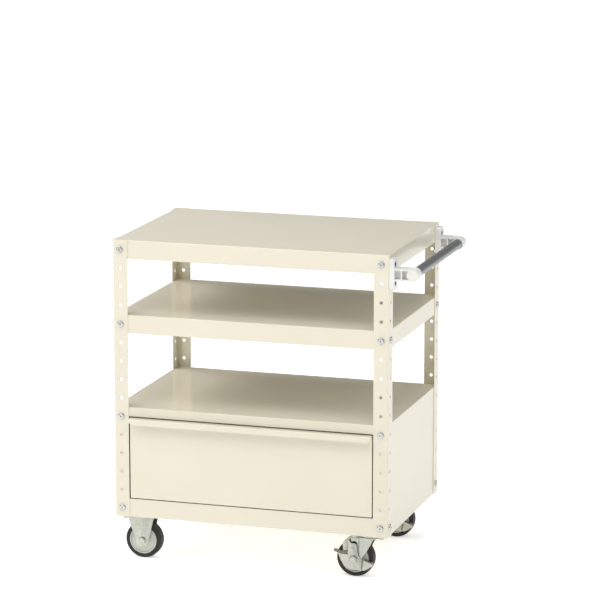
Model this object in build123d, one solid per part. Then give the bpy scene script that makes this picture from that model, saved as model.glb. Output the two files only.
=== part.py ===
from build123d import *
import math
import os

# A steel tool wagon: four perforated angle posts carry two open shelves and a one-drawer cabinet.
# A push handle stands off the right-hand end, two rigid casters carry the left-hand end, and two
# braked swivel casters carry the right-hand end.
# While it is modelled, +X is to the push handle, -Y is the drawer side, +Z is up, the origin is on
# the floor under the middle of the frame, and lengths are millimetres.

# ---------------------------------------------------------------- driving dimensions: frame
SHELF_LENGTH = 750.0
SHELF_DEPTH = 500.0
SHEET = 1.2
FOLD_RADIUS = 2.5
SHELF_LIP = 50.0
HEM_WIDTH = 13.0
POST_FLANGE = 40.0
POST_THICKNESS = 2.0
POST_CORNER_RADIUS = 3.0
HOLE_PITCH = 50.0
HOLE_COUNT = 15
HOLE_DIAMETER = 9.0
HOLE_TO_CORNER = 20.0
HOLE_TO_END = 25.0
MIDDLE_SHELF_HOLE = 4
CABINET_HOLE = 9

# ---------------------------------------------------------------- driving dimensions: cabinet, drawer
CABINET_FRONT_LIP = 25.0
STILE_WIDTH = 36.0
SHEET_GAP = 0.5
DRAWER_GAP = 3.0
DRAWER_FOOT_GAP = 2.5
DRAWER_FRONT_DEPTH = 18.0
DRAWER_FRONT_FLANGE = 24.0
DRAWER_LENGTH = 450.0
DRAWER_WALL = 1.0
DRAWER_WALL_HEIGHT = 200.0
DRAWER_FLOOR_RISE = 7.5
DRAWER_BACK_DROP = 20.0
SLIDE_HEIGHT = 45.0
SLIDE_THICKNESS = 12.7
SLIDE_SHEET = 1.2
SLIDE_GAP = 0.3
SLIDE_OUTER_DEPTH = 10.0
SLIDE_MIDDLE_DEPTH = 8.5
SLIDE_RISE = 88.0
SLIDE_BEAM_HEIGHT = 70.0
SLIDE_BEAM_SHEET = 1.5
PULL_HEIGHT = 15.5
PULL_REACH = 18.0
PULL_SHEET = 2.0
PULL_NOSE_RADIUS = 6.0
PULL_END_CUT = 10.0

# ---------------------------------------------------------------- driving dimensions: push handle
BRACKET_THICKNESS = 12.0
BRACKET_HEIGHT = 82.0
BRACKET_WIDTH = 36.0
BRACKET_CORNER_RADIUS = 8.0
ARM_HEIGHT = 32.0
ARM_FLANGE = 4.0
ARM_WEB = 8.0
ARM_RIB = 3.5
ARM_RIB_REACH = 20.0
BAR_REACH = 60.5
BAR_DIAMETER = 26.0
BAR_WALL = 2.0
BAR_FIT = 0.05
BOSS_DIAMETER = 32.0
BOSS_LENGTH = 32.0
BOSS_INSET = 6.0
CAP_DIAMETER = 30.0
CAP_THICKNESS = 3.0
CAP_PLUG_LENGTH = 12.0

# ---------------------------------------------------------------- driving dimensions: fasteners
BOLT_DIAMETER = 8.0
BOLT_HEAD_DIAMETER = 18.0
BOLT_HEAD_HEIGHT = 4.0
BOLT_HEAD_ROUNDING = 3.2
BOLT_LENGTH = 13.0
BOLT_CROSS_WIDTH = 2.0
BOLT_CROSS_LENGTH = 8.0
BOLT_CROSS_DEPTH = 2.0
NUT_ACROSS_FLATS = 13.0
NUT_HEIGHT = 6.5
THREAD_GAP = 0.05
CAP_SCREW_HEAD = 13.0
CAP_SCREW_KEY = 6.0
COUNTERBORE_DIAMETER = 14.0
COUNTERBORE_DEPTH = 8.2
HEX_HEAD_HEIGHT = 5.3
DRAWER_SCREW_DIAMETER = 4.0
DRAWER_SCREW_HEAD = 10.0
DRAWER_SCREW_HEAD_HEIGHT = 2.5
DRAWER_SCREW_LENGTH = 7.0
DRAWER_SCREW_INSET = 16.0

# ---------------------------------------------------------------- driving dimensions: casters
WHEEL_DIAMETER = 100.0
WHEEL_WIDTH = 30.0
TYRE_THICKNESS = 12.5
TYRE_SHOULDER_RADIUS = 5.0
HUB_DIAMETER = 26.0
RIM_PROUD = 1.5
RIM_DISH = 4.0
AXLE_DROP = 72.0
AXLE_DIAMETER = 10.0
AXLE_GAP = 0.08
AXLE_HEAD_ACROSS_FLATS = 17.0
AXLE_HEAD_HEIGHT = 6.0
AXLE_THREAD_END = 2.4
CASTER_END_INSET = 58.0
CASTER_SIDE_INSET = 54.0
PLATE_SIZE = 92.0
PLATE_THICKNESS = 3.0
PLATE_CORNER_RADIUS = 8.0
PLATE_HOLE_SPACING = 72.0
CASTER_BOLT_LENGTH = 13.0
FORK_GAP = 42.0
FORK_SHEET = 3.0
RUNNING_GAP = 0.3
RIGID_TRAIL = 5.5
RIGID_LEG_TOP_WIDTH = 78.0
RIGID_LEG_END_RADIUS = 17.0
SWIVEL_TRAIL = 41.5
SWIVEL_LEG_END_RADIUS = 19.0
CROWN_RISE = 60.0
CROWN_TO_WHEEL_SIDE = 50.5
CROWN_TO_FREE_SIDE = 10.5
CROWN_SKIRT = 12.0
HEEL_RISE = 8.0
HEEL_REACH = 23.0
THROAT_REACH = 8.5
THROAT_RISE = 41.5
RIB_START = 14.0
RIB_HEIGHT = 1.2
RACE_DIAMETER = 56.0
RACE_EDGE_RADIUS = 2.0
KINGPIN_DIAMETER = 12.0
KINGPIN_HEAD_DIAMETER = 24.0
KINGPIN_HEAD_HEIGHT = 3.5
LEVER_SHEET = 2.5
FENDER_GAP = 1.0
FENDER_ANGLES = (103.5, 124.5)
LEVER_CROWN = 41.0
LEVER_SHOULDER = 9.0
LEVER_WAIST = 20.0
LEVER_HIP = 25.0
LEVER_TAIL_REACH = 55.0
LEVER_TAIL_DROP = 12.0
LEVER_TAIL_DEPTH = 6.5
LEVER_FOOT_DROP = 28.5
LEVER_SOLE_DROP = 19.0
LEVER_HEEL_REACH = 27.0
LEVER_CHEEK_REACH = 37.0
LEVER_ARM_REACH = 42.0
PEDAL_SHEET = 2.0
PEDAL_TAB_THICKNESS = 3.5
PEDAL_CORNER_RADIUS = 5.0
PEDAL_REACH = 6.0
PEDAL_TAB_DEPTH = 15.0
PEDAL_RISE = 18.5
PEDAL_HEIGHT = 7.5
PEDAL_FALL = 6.0
PEDAL_STRIP_END = 15.0
PEDAL_STRIP_END_HEIGHT = 4.0

# ---------------------------------------------------------------- sizes worked out from them
HALF_LENGTH = SHELF_LENGTH / 2
HALF_DEPTH = SHELF_DEPTH / 2
POST_X = HALF_LENGTH + POST_THICKNESS
POST_Y = HALF_DEPTH + POST_THICKNESS
POST_INSIDE_X = POST_X - POST_FLANGE
HOLE_X = POST_X - HOLE_TO_CORNER
HOLE_Y = POST_Y - HOLE_TO_CORNER
LAST_HOLE = HOLE_COUNT - 1
CASTER_HEIGHT = AXLE_DROP + WHEEL_DIAMETER / 2
POST_LENGTH = LAST_HOLE * HOLE_PITCH + 2 * HOLE_TO_END
POST_FOOT = CASTER_HEIGHT + SHELF_LIP / 2 - HOLE_TO_END
CASTER_X = POST_X - CASTER_END_INSET
CASTER_Y = POST_Y - CASTER_SIDE_INSET


def hole_z(index):
    """Height of a post hole, counted from the top hole, 0."""
    return CASTER_HEIGHT + SHELF_LIP / 2 + (LAST_HOLE - index) * HOLE_PITCH


def shelf_z(index):
    """Height of the face of a shelf whose lip is bolted at a post hole."""
    return hole_z(index) + SHELF_LIP / 2


def tube_along_y(radius, length):
    """A cylinder on the Y axis, about the origin."""
    return Rot(90, 0, 0) * Cylinder(radius, length)


def tube_along_x(radius, length):
    """A cylinder on the X axis, about the origin."""
    return Rot(0, 90, 0) * Cylinder(radius, length)


def block(x_range, y_range, z_range):
    """A box from its limits along each axis, given in either order."""
    x_low, x_high = sorted(x_range)
    y_low, y_high = sorted(y_range)
    z_low, z_high = sorted(z_range)
    middle = Pos((x_low + x_high) / 2, (y_low + y_high) / 2, (z_low + z_high) / 2)
    return middle * Box(x_high - x_low, y_high - y_low, z_high - z_low)


def upright_plate(outline, y_low, y_high):
    """A flat plate across Y, from its outline of (x, z) points."""
    face = make_face(Polyline(*outline, close=True))
    solid = extrude(face, amount=y_high - y_low)
    return Pos(0, y_high, 0) * Rot(90, 0, 0) * solid


def group(members):
    """Separate solids that share one sub-part."""
    return Compound([solid for member in members for solid in member.solids()])


def hexagon_bar(across_flats, height):
    """A hexagonal bar standing on the XY plane."""
    return extrude(RegularPolygon(across_flats / 2, 6, major_radius=False), amount=height)


pieces = {}

# ---------------------------------------------------------------- posts


def angle_post(side_x, side_y):
    """One perforated angle, its corner outwards, with a row of holes along both flanges."""
    corner_x = side_x * POST_X
    corner_y = side_y * POST_Y
    inner_x = corner_x - side_x * POST_THICKNESS
    inner_y = corner_y - side_y * POST_THICKNESS
    tip_x = corner_x - side_x * POST_FLANGE
    tip_y = corner_y - side_y * POST_FLANGE
    section = make_face(
        Polyline(
            (corner_x, corner_y),
            (tip_x, corner_y),
            (tip_x, inner_y),
            (inner_x, inner_y),
            (inner_x, tip_y),
            (corner_x, tip_y),
            close=True,
        )
    )
    outer_corner = section.vertices().sort_by_distance((corner_x, corner_y, 0))[0]
    section = fillet(outer_corner, POST_CORNER_RADIUS)
    inner_corner = section.vertices().sort_by_distance((inner_x, inner_y, 0))[0]
    section = fillet(inner_corner, POST_CORNER_RADIUS - POST_THICKNESS)
    post = Pos(0, 0, POST_FOOT) * extrude(section, amount=POST_LENGTH)
    drill_length = 4 * POST_THICKNESS
    drills = []
    for index in range(HOLE_COUNT):
        drill_y = tube_along_y(HOLE_DIAMETER / 2, drill_length)
        drill_x = tube_along_x(HOLE_DIAMETER / 2, drill_length)
        drills.append(Pos(side_x * HOLE_X, corner_y, hole_z(index)) * drill_y)
        drills.append(Pos(corner_x, side_y * HOLE_Y, hole_z(index)) * drill_x)
    return post - drills


CORNERS = {
    "front_left": (-1, -1),
    "front_right": (1, -1),
    "rear_left": (-1, 1),
    "rear_right": (1, 1),
}
for corner, (side_x, side_y) in CORNERS.items():
    pieces[f"{corner}_post"] = angle_post(side_x, side_y)

# ---------------------------------------------------------------- shelves


def folded_tray(length, depth, lip, hem):
    """A sheet with its face at z 0 and all four lips folded down, with an inward hem below."""
    outer = Pos(0, 0, -lip / 2) * Box(length, depth, lip)
    folds = outer.faces().sort_by(Axis.Z)[-1].edges() + outer.edges().filter_by(Axis.Z)
    outer = fillet(folds, FOLD_RADIUS)
    room_height = lip - SHEET - (SHEET if hem else 0)
    room = Box(length - 2 * SHEET, depth - 2 * SHEET, room_height)
    room = Pos(0, 0, -SHEET - room_height / 2) * room
    folds = room.faces().sort_by(Axis.Z)[-1].edges() + room.edges().filter_by(Axis.Z)
    room = fillet(folds, FOLD_RADIUS - SHEET)
    tray = outer - room
    if hem:
        tray -= Pos(0, 0, -lip) * Box(length - 2 * hem, depth - 2 * hem, 4 * SHEET)
    return tray


def lip_holes(z, length, on_ends):
    """Drills for the bolts through the front and rear lips, and through the end lips."""
    drills = []
    for side_x, side_y in CORNERS.values():
        drill = tube_along_y(HOLE_DIAMETER / 2, 4 * SHEET)
        drills.append(Pos(side_x * HOLE_X, side_y * HALF_DEPTH, z) * drill)
        if on_ends:
            drill = tube_along_x(HOLE_DIAMETER / 2, 4 * SHEET)
            drills.append(Pos(side_x * length / 2, side_y * HOLE_Y, z) * drill)
    return drills


def open_shelf(hole):
    shelf = Pos(0, 0, shelf_z(hole)) * folded_tray(SHELF_LENGTH, SHELF_DEPTH, SHELF_LIP, HEM_WIDTH)
    return shelf - lip_holes(hole_z(hole), SHELF_LENGTH, True)


pieces["top_shelf"] = open_shelf(0)
pieces["middle_shelf"] = open_shelf(MIDDLE_SHELF_HOLE)

# ---------------------------------------------------------------- cabinet shell
CABINET_TOP_Z = shelf_z(CABINET_HOLE)
CABINET_FOOT_Z = hole_z(LAST_HOLE) - SHELF_LIP / 2
INSIDE_LENGTH = SHELF_LENGTH - 2 * SHEET
STILE_X = HALF_LENGTH - STILE_WIDTH
DOOR_LOW_Z = CABINET_FOOT_Z + SHELF_LIP
DOOR_HIGH_Z = CABINET_TOP_Z - CABINET_FRONT_LIP
TAB_Z = CABINET_TOP_Z - SHELF_LIP
BACK_PANEL_Y = HALF_DEPTH - 2 * SHEET

cabinet_top = Pos(0, 0, CABINET_TOP_Z) * folded_tray(INSIDE_LENGTH, SHELF_DEPTH, SHELF_LIP, 0)
cabinet_top -= block(
    (-STILE_X, STILE_X),
    (-HALF_DEPTH - SHEET, -HALF_DEPTH + 2 * SHEET),
    (TAB_Z - SHEET, DOOR_HIGH_Z),
)
cabinet_top -= lip_holes(hole_z(CABINET_HOLE), INSIDE_LENGTH, False)
pieces["cabinet_top"] = cabinet_top

cabinet_bottom = Rot(180, 0, 0) * folded_tray(INSIDE_LENGTH, SHELF_DEPTH, SHELF_LIP, 0)
cabinet_bottom = Pos(0, 0, CABINET_FOOT_Z) * cabinet_bottom
cabinet_bottom -= lip_holes(hole_z(LAST_HOLE), INSIDE_LENGTH, True)


def plate_hole_spots():
    """Centres of the caster plate bolts, seen from above, with their caster's corner."""
    half = PLATE_HOLE_SPACING / 2
    spots = []
    for side_x, side_y in CORNERS.values():
        for across_x in (-half, half):
            for across_y in (-half, half):
                spots.append((side_x * CASTER_X + across_x, side_y * CASTER_Y + across_y))
    return spots


for spot_x, spot_y in plate_hole_spots():
    cabinet_bottom -= Pos(spot_x, spot_y, CABINET_FOOT_Z) * Cylinder(HOLE_DIAMETER / 2, 4 * SHEET)
pieces["cabinet_bottom"] = cabinet_bottom


def cabinet_side(side_x):
    """An end panel with a narrow front stile folded in behind the post."""
    face_x = side_x * HALF_LENGTH
    web = block(
        (face_x, face_x - side_x * SHEET),
        (-HALF_DEPTH, HALF_DEPTH),
        (CABINET_FOOT_Z, CABINET_TOP_Z),
    )
    outer_edges = web.edges().filter_by(Axis.Z).sort_by(Axis.X)
    outer_edges = outer_edges[-2:] if side_x > 0 else outer_edges[:2]
    web = fillet(outer_edges, POST_CORNER_RADIUS - POST_THICKNESS)
    stile = block(
        (face_x - side_x * SHEET, side_x * STILE_X),
        (-HALF_DEPTH, -HALF_DEPTH + SHEET),
        (DOOR_LOW_Z + SHEET_GAP, TAB_Z - SHEET_GAP),
    )
    panel = web + stile
    for side_y in (-1, 1):
        drill = tube_along_x(HOLE_DIAMETER / 2, 4 * SHEET)
        panel -= Pos(face_x, side_y * HOLE_Y, hole_z(LAST_HOLE)) * drill
    return panel


pieces["cabinet_left_side"] = cabinet_side(-1)
pieces["cabinet_right_side"] = cabinet_side(1)
pieces["cabinet_back"] = block(
    (-INSIDE_LENGTH / 2 + FOLD_RADIUS, INSIDE_LENGTH / 2 - FOLD_RADIUS),
    (BACK_PANEL_Y, BACK_PANEL_Y + SHEET),
    (CABINET_FOOT_Z + FOLD_RADIUS, CABINET_TOP_Z - FOLD_RADIUS),
)
for side_x in (-1, 1):
    for hole in (CABINET_HOLE, LAST_HOLE):
        drill = tube_along_y(HOLE_DIAMETER / 2, 8 * SHEET)
        pieces["cabinet_back"] -= Pos(side_x * HOLE_X, HALF_DEPTH, hole_z(hole)) * drill

# ---------------------------------------------------------------- drawer slides
DRAWER_FRONT_Y = -POST_Y
DRAWER_BODY_Y = DRAWER_FRONT_Y + DRAWER_FRONT_DEPTH
DRAWER_REAR_Y = DRAWER_BODY_Y + DRAWER_LENGTH
DRAWER_FLOOR_Z = DOOR_LOW_Z + DRAWER_FOOT_GAP + DRAWER_FLOOR_RISE
DRAWER_HALF_WIDTH = STILE_X - SLIDE_THICKNESS
SLIDE_Z = DRAWER_FLOOR_Z + SLIDE_RISE
SLIDE_FRONT_Y = DRAWER_BODY_Y + 2 * SHEET
BEAM_REAR_Y = BACK_PANEL_Y - SHEET_GAP


def slide_channel(side_x, web, flange, height):
    """A long channel: web and flange are (near, far) distances in from the cabinet's stile."""
    web_x = [side_x * (STILE_X - distance) for distance in web]
    flange_x = [side_x * (STILE_X - distance) for distance in flange]
    low = SLIDE_Z - height / 2
    high = SLIDE_Z + height / 2
    along = (SLIDE_FRONT_Y, DRAWER_REAR_Y)
    channel = block(web_x, along, (low, high))
    channel += block(flange_x, along, (low, low + SLIDE_SHEET))
    channel += block(flange_x, along, (high - SLIDE_SHEET, high))
    return channel


def slide_beam(side_x):
    """The channel on the side panel, as long as the cabinet, that brings the slide in line
    with the stile."""
    web_x = (side_x * STILE_X, side_x * (STILE_X + SLIDE_BEAM_SHEET))
    flange_x = (side_x * STILE_X, side_x * (HALF_LENGTH - SHEET))
    low = SLIDE_Z - SLIDE_BEAM_HEIGHT / 2
    high = SLIDE_Z + SLIDE_BEAM_HEIGHT / 2
    along = (SLIDE_FRONT_Y, BEAM_REAR_Y)
    beam = block(web_x, along, (low, high))
    beam += block(flange_x, along, (low, low + SLIDE_BEAM_SHEET))
    beam += block(flange_x, along, (high - SLIDE_BEAM_SHEET, high))
    return beam


# The middle and inner members come forward past the front posts, which reach in over the stile.
MIDDLE_START = STILE_X - POST_INSIDE_X + 2 * SLIDE_GAP
INNER_START = MIDDLE_START + SLIDE_SHEET + SLIDE_GAP
MIDDLE_HEIGHT = SLIDE_HEIGHT - 2 * SLIDE_SHEET - 2 * SLIDE_GAP
INNER_HEIGHT = MIDDLE_HEIGHT - 2 * SLIDE_SHEET - 2 * SLIDE_GAP
for side, side_x in (("left", -1), ("right", 1)):
    pieces[f"{side}_slide_beam"] = slide_beam(side_x)
    pieces[f"{side}_slide_outer"] = slide_channel(
        side_x, (0, SLIDE_SHEET), (0, SLIDE_OUTER_DEPTH), SLIDE_HEIGHT
    )
    pieces[f"{side}_slide_middle"] = slide_channel(
        side_x,
        (MIDDLE_START, MIDDLE_START + SLIDE_SHEET),
        (MIDDLE_START, MIDDLE_START + SLIDE_MIDDLE_DEPTH),
        MIDDLE_HEIGHT,
    )
    pieces[f"{side}_slide_inner"] = slide_channel(
        side_x,
        (SLIDE_THICKNESS - SLIDE_SHEET, SLIDE_THICKNESS),
        (INNER_START, SLIDE_THICKNESS),
        INNER_HEIGHT,
    )

# ---------------------------------------------------------------- drawer
FRONT_HALF_WIDTH = POST_INSIDE_X - DRAWER_GAP
FRONT_LOW_Z = DOOR_LOW_Z + DRAWER_FOOT_GAP
FRONT_HIGH_Z = DOOR_HIGH_Z - DRAWER_GAP

drawer_front = block(
    (-FRONT_HALF_WIDTH, FRONT_HALF_WIDTH),
    (DRAWER_FRONT_Y, DRAWER_BODY_Y),
    (FRONT_LOW_Z, FRONT_HIGH_Z),
)
front_folds = drawer_front.faces().sort_by(Axis.Y)[0].edges()
drawer_front = fillet(front_folds, FOLD_RADIUS - SHEET)
drawer_front -= block(
    (-FRONT_HALF_WIDTH + SHEET, FRONT_HALF_WIDTH - SHEET),
    (DRAWER_FRONT_Y + SHEET, DRAWER_BODY_Y - SHEET),
    (FRONT_LOW_Z + SHEET, FRONT_HIGH_Z - SHEET),
)
drawer_front -= block(
    (-FRONT_HALF_WIDTH + DRAWER_FRONT_FLANGE, FRONT_HALF_WIDTH - DRAWER_FRONT_FLANGE),
    (DRAWER_BODY_Y - 2 * SHEET, DRAWER_BODY_Y + SHEET),
    (FRONT_LOW_Z + DRAWER_FRONT_FLANGE, FRONT_HIGH_Z - DRAWER_FRONT_FLANGE),
)

drawer_body = block(
    (-DRAWER_HALF_WIDTH, DRAWER_HALF_WIDTH),
    (DRAWER_BODY_Y, DRAWER_REAR_Y),
    (DRAWER_FLOOR_Z, DRAWER_FLOOR_Z + DRAWER_WALL_HEIGHT),
)
drawer_body -= block(
    (-DRAWER_HALF_WIDTH + DRAWER_WALL, DRAWER_HALF_WIDTH - DRAWER_WALL),
    (DRAWER_BODY_Y + DRAWER_WALL, DRAWER_REAR_Y + DRAWER_WALL),
    (DRAWER_FLOOR_Z + DRAWER_WALL, DRAWER_FLOOR_Z + DRAWER_WALL_HEIGHT + DRAWER_WALL),
)

SCREW_X = FRONT_HALF_WIDTH - DRAWER_SCREW_INSET
SCREW_LOW_Z = DRAWER_FLOOR_Z + DRAWER_SCREW_INSET
SCREW_HIGH_Z = DRAWER_FLOOR_Z + DRAWER_WALL_HEIGHT - DRAWER_SCREW_INSET
drawer_screws = []
for side_x in (-1, 1):
    for screw_z in (SCREW_LOW_Z, SCREW_HIGH_Z):
        spot = Pos(side_x * SCREW_X, DRAWER_BODY_Y, screw_z)
        drill = spot * tube_along_y(DRAWER_SCREW_DIAMETER / 2 + THREAD_GAP, 4 * SHEET)
        drawer_front -= drill
        drawer_body -= drill
        head = extrude(Circle(DRAWER_SCREW_HEAD / 2), amount=DRAWER_SCREW_HEAD_HEIGHT)
        head = fillet(head.faces().sort_by(Axis.Z)[-1].edges(), DRAWER_SCREW_HEAD_HEIGHT / 2)
        shank = extrude(Circle(DRAWER_SCREW_DIAMETER / 2), amount=-DRAWER_SCREW_LENGTH)
        drawer_screws.append(spot * Rot(-90, 0, 0) * Pos(0, 0, DRAWER_WALL) * (head + shank))
pieces["drawer_front"] = drawer_front
pieces["drawer_body"] = drawer_body
pieces["drawer_back"] = block(
    (-DRAWER_HALF_WIDTH + DRAWER_WALL, DRAWER_HALF_WIDTH - DRAWER_WALL),
    (DRAWER_REAR_Y - DRAWER_WALL, DRAWER_REAR_Y),
    (DRAWER_FLOOR_Z + DRAWER_WALL, DRAWER_FLOOR_Z + DRAWER_WALL_HEIGHT - DRAWER_BACK_DROP),
)
pieces["drawer_screws"] = group(drawer_screws)

# The pull is one folded channel along the whole front, open below for the fingers.
PULL_HIGH_Z = FRONT_HIGH_Z
PULL_LOW_Z = PULL_HIGH_Z - PULL_HEIGHT
PULL_Y = DRAWER_FRONT_Y - PULL_REACH
drawer_pull = block(
    (-FRONT_HALF_WIDTH, FRONT_HALF_WIDTH),
    (PULL_Y, DRAWER_FRONT_Y),
    (PULL_LOW_Z, PULL_HIGH_Z),
)
nose = drawer_pull.edges().filter_by(Axis.X).sort_by_distance((0, PULL_Y, PULL_HIGH_Z))[0]
drawer_pull = fillet(nose, PULL_NOSE_RADIUS)
pull_room = block(
    (-FRONT_HALF_WIDTH + PULL_SHEET, FRONT_HALF_WIDTH - PULL_SHEET),
    (PULL_Y + PULL_SHEET, DRAWER_FRONT_Y - PULL_SHEET),
    (PULL_LOW_Z - PULL_SHEET, PULL_HIGH_Z - PULL_SHEET),
)
nose = pull_room.edges().filter_by(Axis.X)
nose = nose.sort_by_distance((0, PULL_Y + PULL_SHEET, PULL_HIGH_Z - PULL_SHEET))[0]
drawer_pull -= fillet(nose, PULL_NOSE_RADIUS - PULL_SHEET)
for side_x in (-1, 1):
    end_cut = upright_plate(
        [
            (side_x * (FRONT_HALF_WIDTH + PULL_SHEET), PULL_LOW_Z - PULL_SHEET),
            (side_x * (FRONT_HALF_WIDTH - PULL_END_CUT), PULL_LOW_Z - PULL_SHEET),
            (side_x * (FRONT_HALF_WIDTH - PULL_END_CUT), PULL_LOW_Z),
            (side_x * FRONT_HALF_WIDTH, PULL_LOW_Z + PULL_END_CUT),
            (side_x * (FRONT_HALF_WIDTH + PULL_SHEET), PULL_LOW_Z + PULL_END_CUT),
        ],
        PULL_Y - PULL_SHEET,
        DRAWER_FRONT_Y + PULL_SHEET,
    )
    drawer_pull -= end_cut
pieces["drawer_pull"] = drawer_pull

# ---------------------------------------------------------------- push handle
BRACKET_Z = (hole_z(0) + hole_z(1)) / 2
BRACKET_FACE_X = POST_X + BRACKET_THICKNESS
BAR_X = POST_X + BAR_REACH
BOSS_END_Y = HALF_DEPTH - BOSS_INSET + POST_THICKNESS


def handle_bracket(side_y):
    """A moulded bracket: a pad on the post, an arm of I section and a boss round the bar."""
    pad = Pos(POST_X + BRACKET_THICKNESS / 2, side_y * HOLE_Y, BRACKET_Z) * Box(
        BRACKET_THICKNESS, BRACKET_WIDTH, BRACKET_HEIGHT
    )
    pad = fillet(pad.edges().filter_by(Axis.X), BRACKET_CORNER_RADIUS)
    arm_x = (BRACKET_FACE_X, BAR_X)
    arm_y = (side_y * HOLE_Y - BRACKET_WIDTH / 2, side_y * HOLE_Y + BRACKET_WIDTH / 2)
    web_y = (side_y * HOLE_Y - ARM_WEB / 2, side_y * HOLE_Y + ARM_WEB / 2)
    low = BRACKET_Z - ARM_HEIGHT / 2
    high = BRACKET_Z + ARM_HEIGHT / 2
    bracket = pad + block(arm_x, arm_y, (low, low + ARM_FLANGE))
    bracket += block(arm_x, arm_y, (high - ARM_FLANGE, high))
    bracket += block(arm_x, web_y, (low, high))
    rib_x = BRACKET_FACE_X + ARM_RIB_REACH
    bracket += block((rib_x - ARM_RIB / 2, rib_x + ARM_RIB / 2), arm_y, (low, high))
    boss = tube_along_y(BOSS_DIAMETER / 2, BOSS_LENGTH)
    bore = tube_along_y(BAR_DIAMETER / 2 + BAR_FIT, 2 * BOSS_LENGTH)
    boss_at = Pos(BAR_X, side_y * (BOSS_END_Y - BOSS_LENGTH / 2), BRACKET_Z)
    beyond = block(
        (BAR_X - BOSS_DIAMETER, BAR_X + BOSS_DIAMETER),
        (side_y * BOSS_END_Y, side_y * (POST_Y + BOSS_LENGTH)),
        (low - BOSS_DIAMETER, high + BOSS_DIAMETER),
    )
    bracket = bracket + boss_at * boss
    bracket = bracket - beyond - boss_at * bore
    for hole in (0, 1):
        at = Pos(BRACKET_FACE_X, side_y * HOLE_Y, hole_z(hole))
        bracket -= at * tube_along_x(COUNTERBORE_DIAMETER / 2, 2 * COUNTERBORE_DEPTH)
        bracket -= at * tube_along_x(HOLE_DIAMETER / 2, 4 * BRACKET_THICKNESS)
    return bracket


pieces["front_handle_bracket"] = handle_bracket(-1)
pieces["rear_handle_bracket"] = handle_bracket(1)
bar = tube_along_y(BAR_DIAMETER / 2, 2 * BOSS_END_Y)
bar -= tube_along_y(BAR_DIAMETER / 2 - BAR_WALL, 3 * BOSS_END_Y)
pieces["handle_bar"] = Pos(BAR_X, 0, BRACKET_Z) * bar


def bar_cap(side_y):
    """A moulded plug that closes one end of the bar."""
    disc = extrude(Circle(CAP_DIAMETER / 2), amount=CAP_THICKNESS)
    disc = fillet(disc.faces().sort_by(Axis.Z)[-1].edges(), CAP_THICKNESS / 2)
    plug = extrude(Circle(BAR_DIAMETER / 2 - BAR_WALL - BAR_FIT), amount=-CAP_PLUG_LENGTH)
    return Pos(BAR_X, side_y * BOSS_END_Y, BRACKET_Z) * Rot(-90 * side_y, 0, 0) * (disc + plug)


pieces["handle_bar_caps"] = group([bar_cap(-1), bar_cap(1)])

# ---------------------------------------------------------------- frame fasteners
FACING = {
    "front": Rot(90, 0, 0),
    "rear": Rot(-90, 0, 0),
    "left": Rot(0, -90, 0),
    "right": Rot(0, 90, 0),
}


def truss_bolt(length):
    """A cross-recessed truss-head bolt, its head standing up from the XY plane."""
    head = extrude(Circle(BOLT_HEAD_DIAMETER / 2), amount=BOLT_HEAD_HEIGHT)
    head = fillet(head.faces().sort_by(Axis.Z)[-1].edges(), BOLT_HEAD_ROUNDING)
    shank = extrude(Circle(BOLT_DIAMETER / 2), amount=-length)
    bolt = head + shank
    recess = Box(BOLT_CROSS_LENGTH, BOLT_CROSS_WIDTH, 2 * BOLT_CROSS_DEPTH)
    recess += Box(BOLT_CROSS_WIDTH, BOLT_CROSS_LENGTH, 2 * BOLT_CROSS_DEPTH)
    return bolt - Pos(0, 0, BOLT_HEAD_HEIGHT) * recess


def hexagon_nut():
    """A nut that hangs down from the XY plane."""
    nut = hexagon_bar(NUT_ACROSS_FLATS, -NUT_HEIGHT)
    return nut - Cylinder(BOLT_DIAMETER / 2 + THREAD_GAP, 4 * NUT_HEIGHT)


frame_bolts = []
frame_nuts = []


def fasten(x, y, z, facing, grip):
    """A bolt with its head on a face, and its nut behind the sheets that it grips."""
    seat = Pos(x, y, z) * FACING[facing]
    frame_bolts.append(seat * truss_bolt(BOLT_LENGTH + grip - POST_THICKNESS - SHEET))
    frame_nuts.append(seat * Pos(0, 0, -grip) * hexagon_nut())


for side_x, side_y in CORNERS.values():
    for hole in (0, MIDDLE_SHELF_HOLE, CABINET_HOLE, LAST_HOLE):
        facing = "front" if side_y < 0 else "rear"
        behind_back = side_y > 0 and hole in (CABINET_HOLE, LAST_HOLE)
        grip = POST_THICKNESS + SHEET + (SHEET if behind_back else 0)
        fasten(side_x * HOLE_X, side_y * POST_Y, hole_z(hole), facing, grip)
    end_holes = (MIDDLE_SHELF_HOLE, LAST_HOLE) if side_x > 0 else (0, MIDDLE_SHELF_HOLE, LAST_HOLE)
    for hole in end_holes:
        facing = "left" if side_x < 0 else "right"
        grip = POST_THICKNESS + SHEET + (SHEET if hole == LAST_HOLE else 0)
        fasten(side_x * POST_X, side_y * HOLE_Y, hole_z(hole), facing, grip)
pieces["frame_bolts"] = group(frame_bolts)

bracket_screws = []
for side_y in (-1, 1):
    for hole in (0, 1):
        under_head = BRACKET_THICKNESS - COUNTERBORE_DEPTH
        seat = Pos(POST_X + under_head, side_y * HOLE_Y, hole_z(hole)) * FACING["right"]
        grip = under_head + POST_THICKNESS + (SHEET if hole == 0 else 0)
        head = extrude(Circle(CAP_SCREW_HEAD / 2), amount=BOLT_DIAMETER)
        head -= Pos(0, 0, BOLT_DIAMETER / 2) * hexagon_bar(CAP_SCREW_KEY, BOLT_DIAMETER)
        reach = grip + NUT_HEIGHT + BOLT_HEAD_HEIGHT / 2
        shank = extrude(Circle(BOLT_DIAMETER / 2), amount=-reach)
        bracket_screws.append(seat * (head + shank))
        frame_nuts.append(seat * Pos(0, 0, -grip) * hexagon_nut())
pieces["bracket_screws"] = group(bracket_screws)
pieces["frame_nuts"] = group(frame_nuts)

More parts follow.
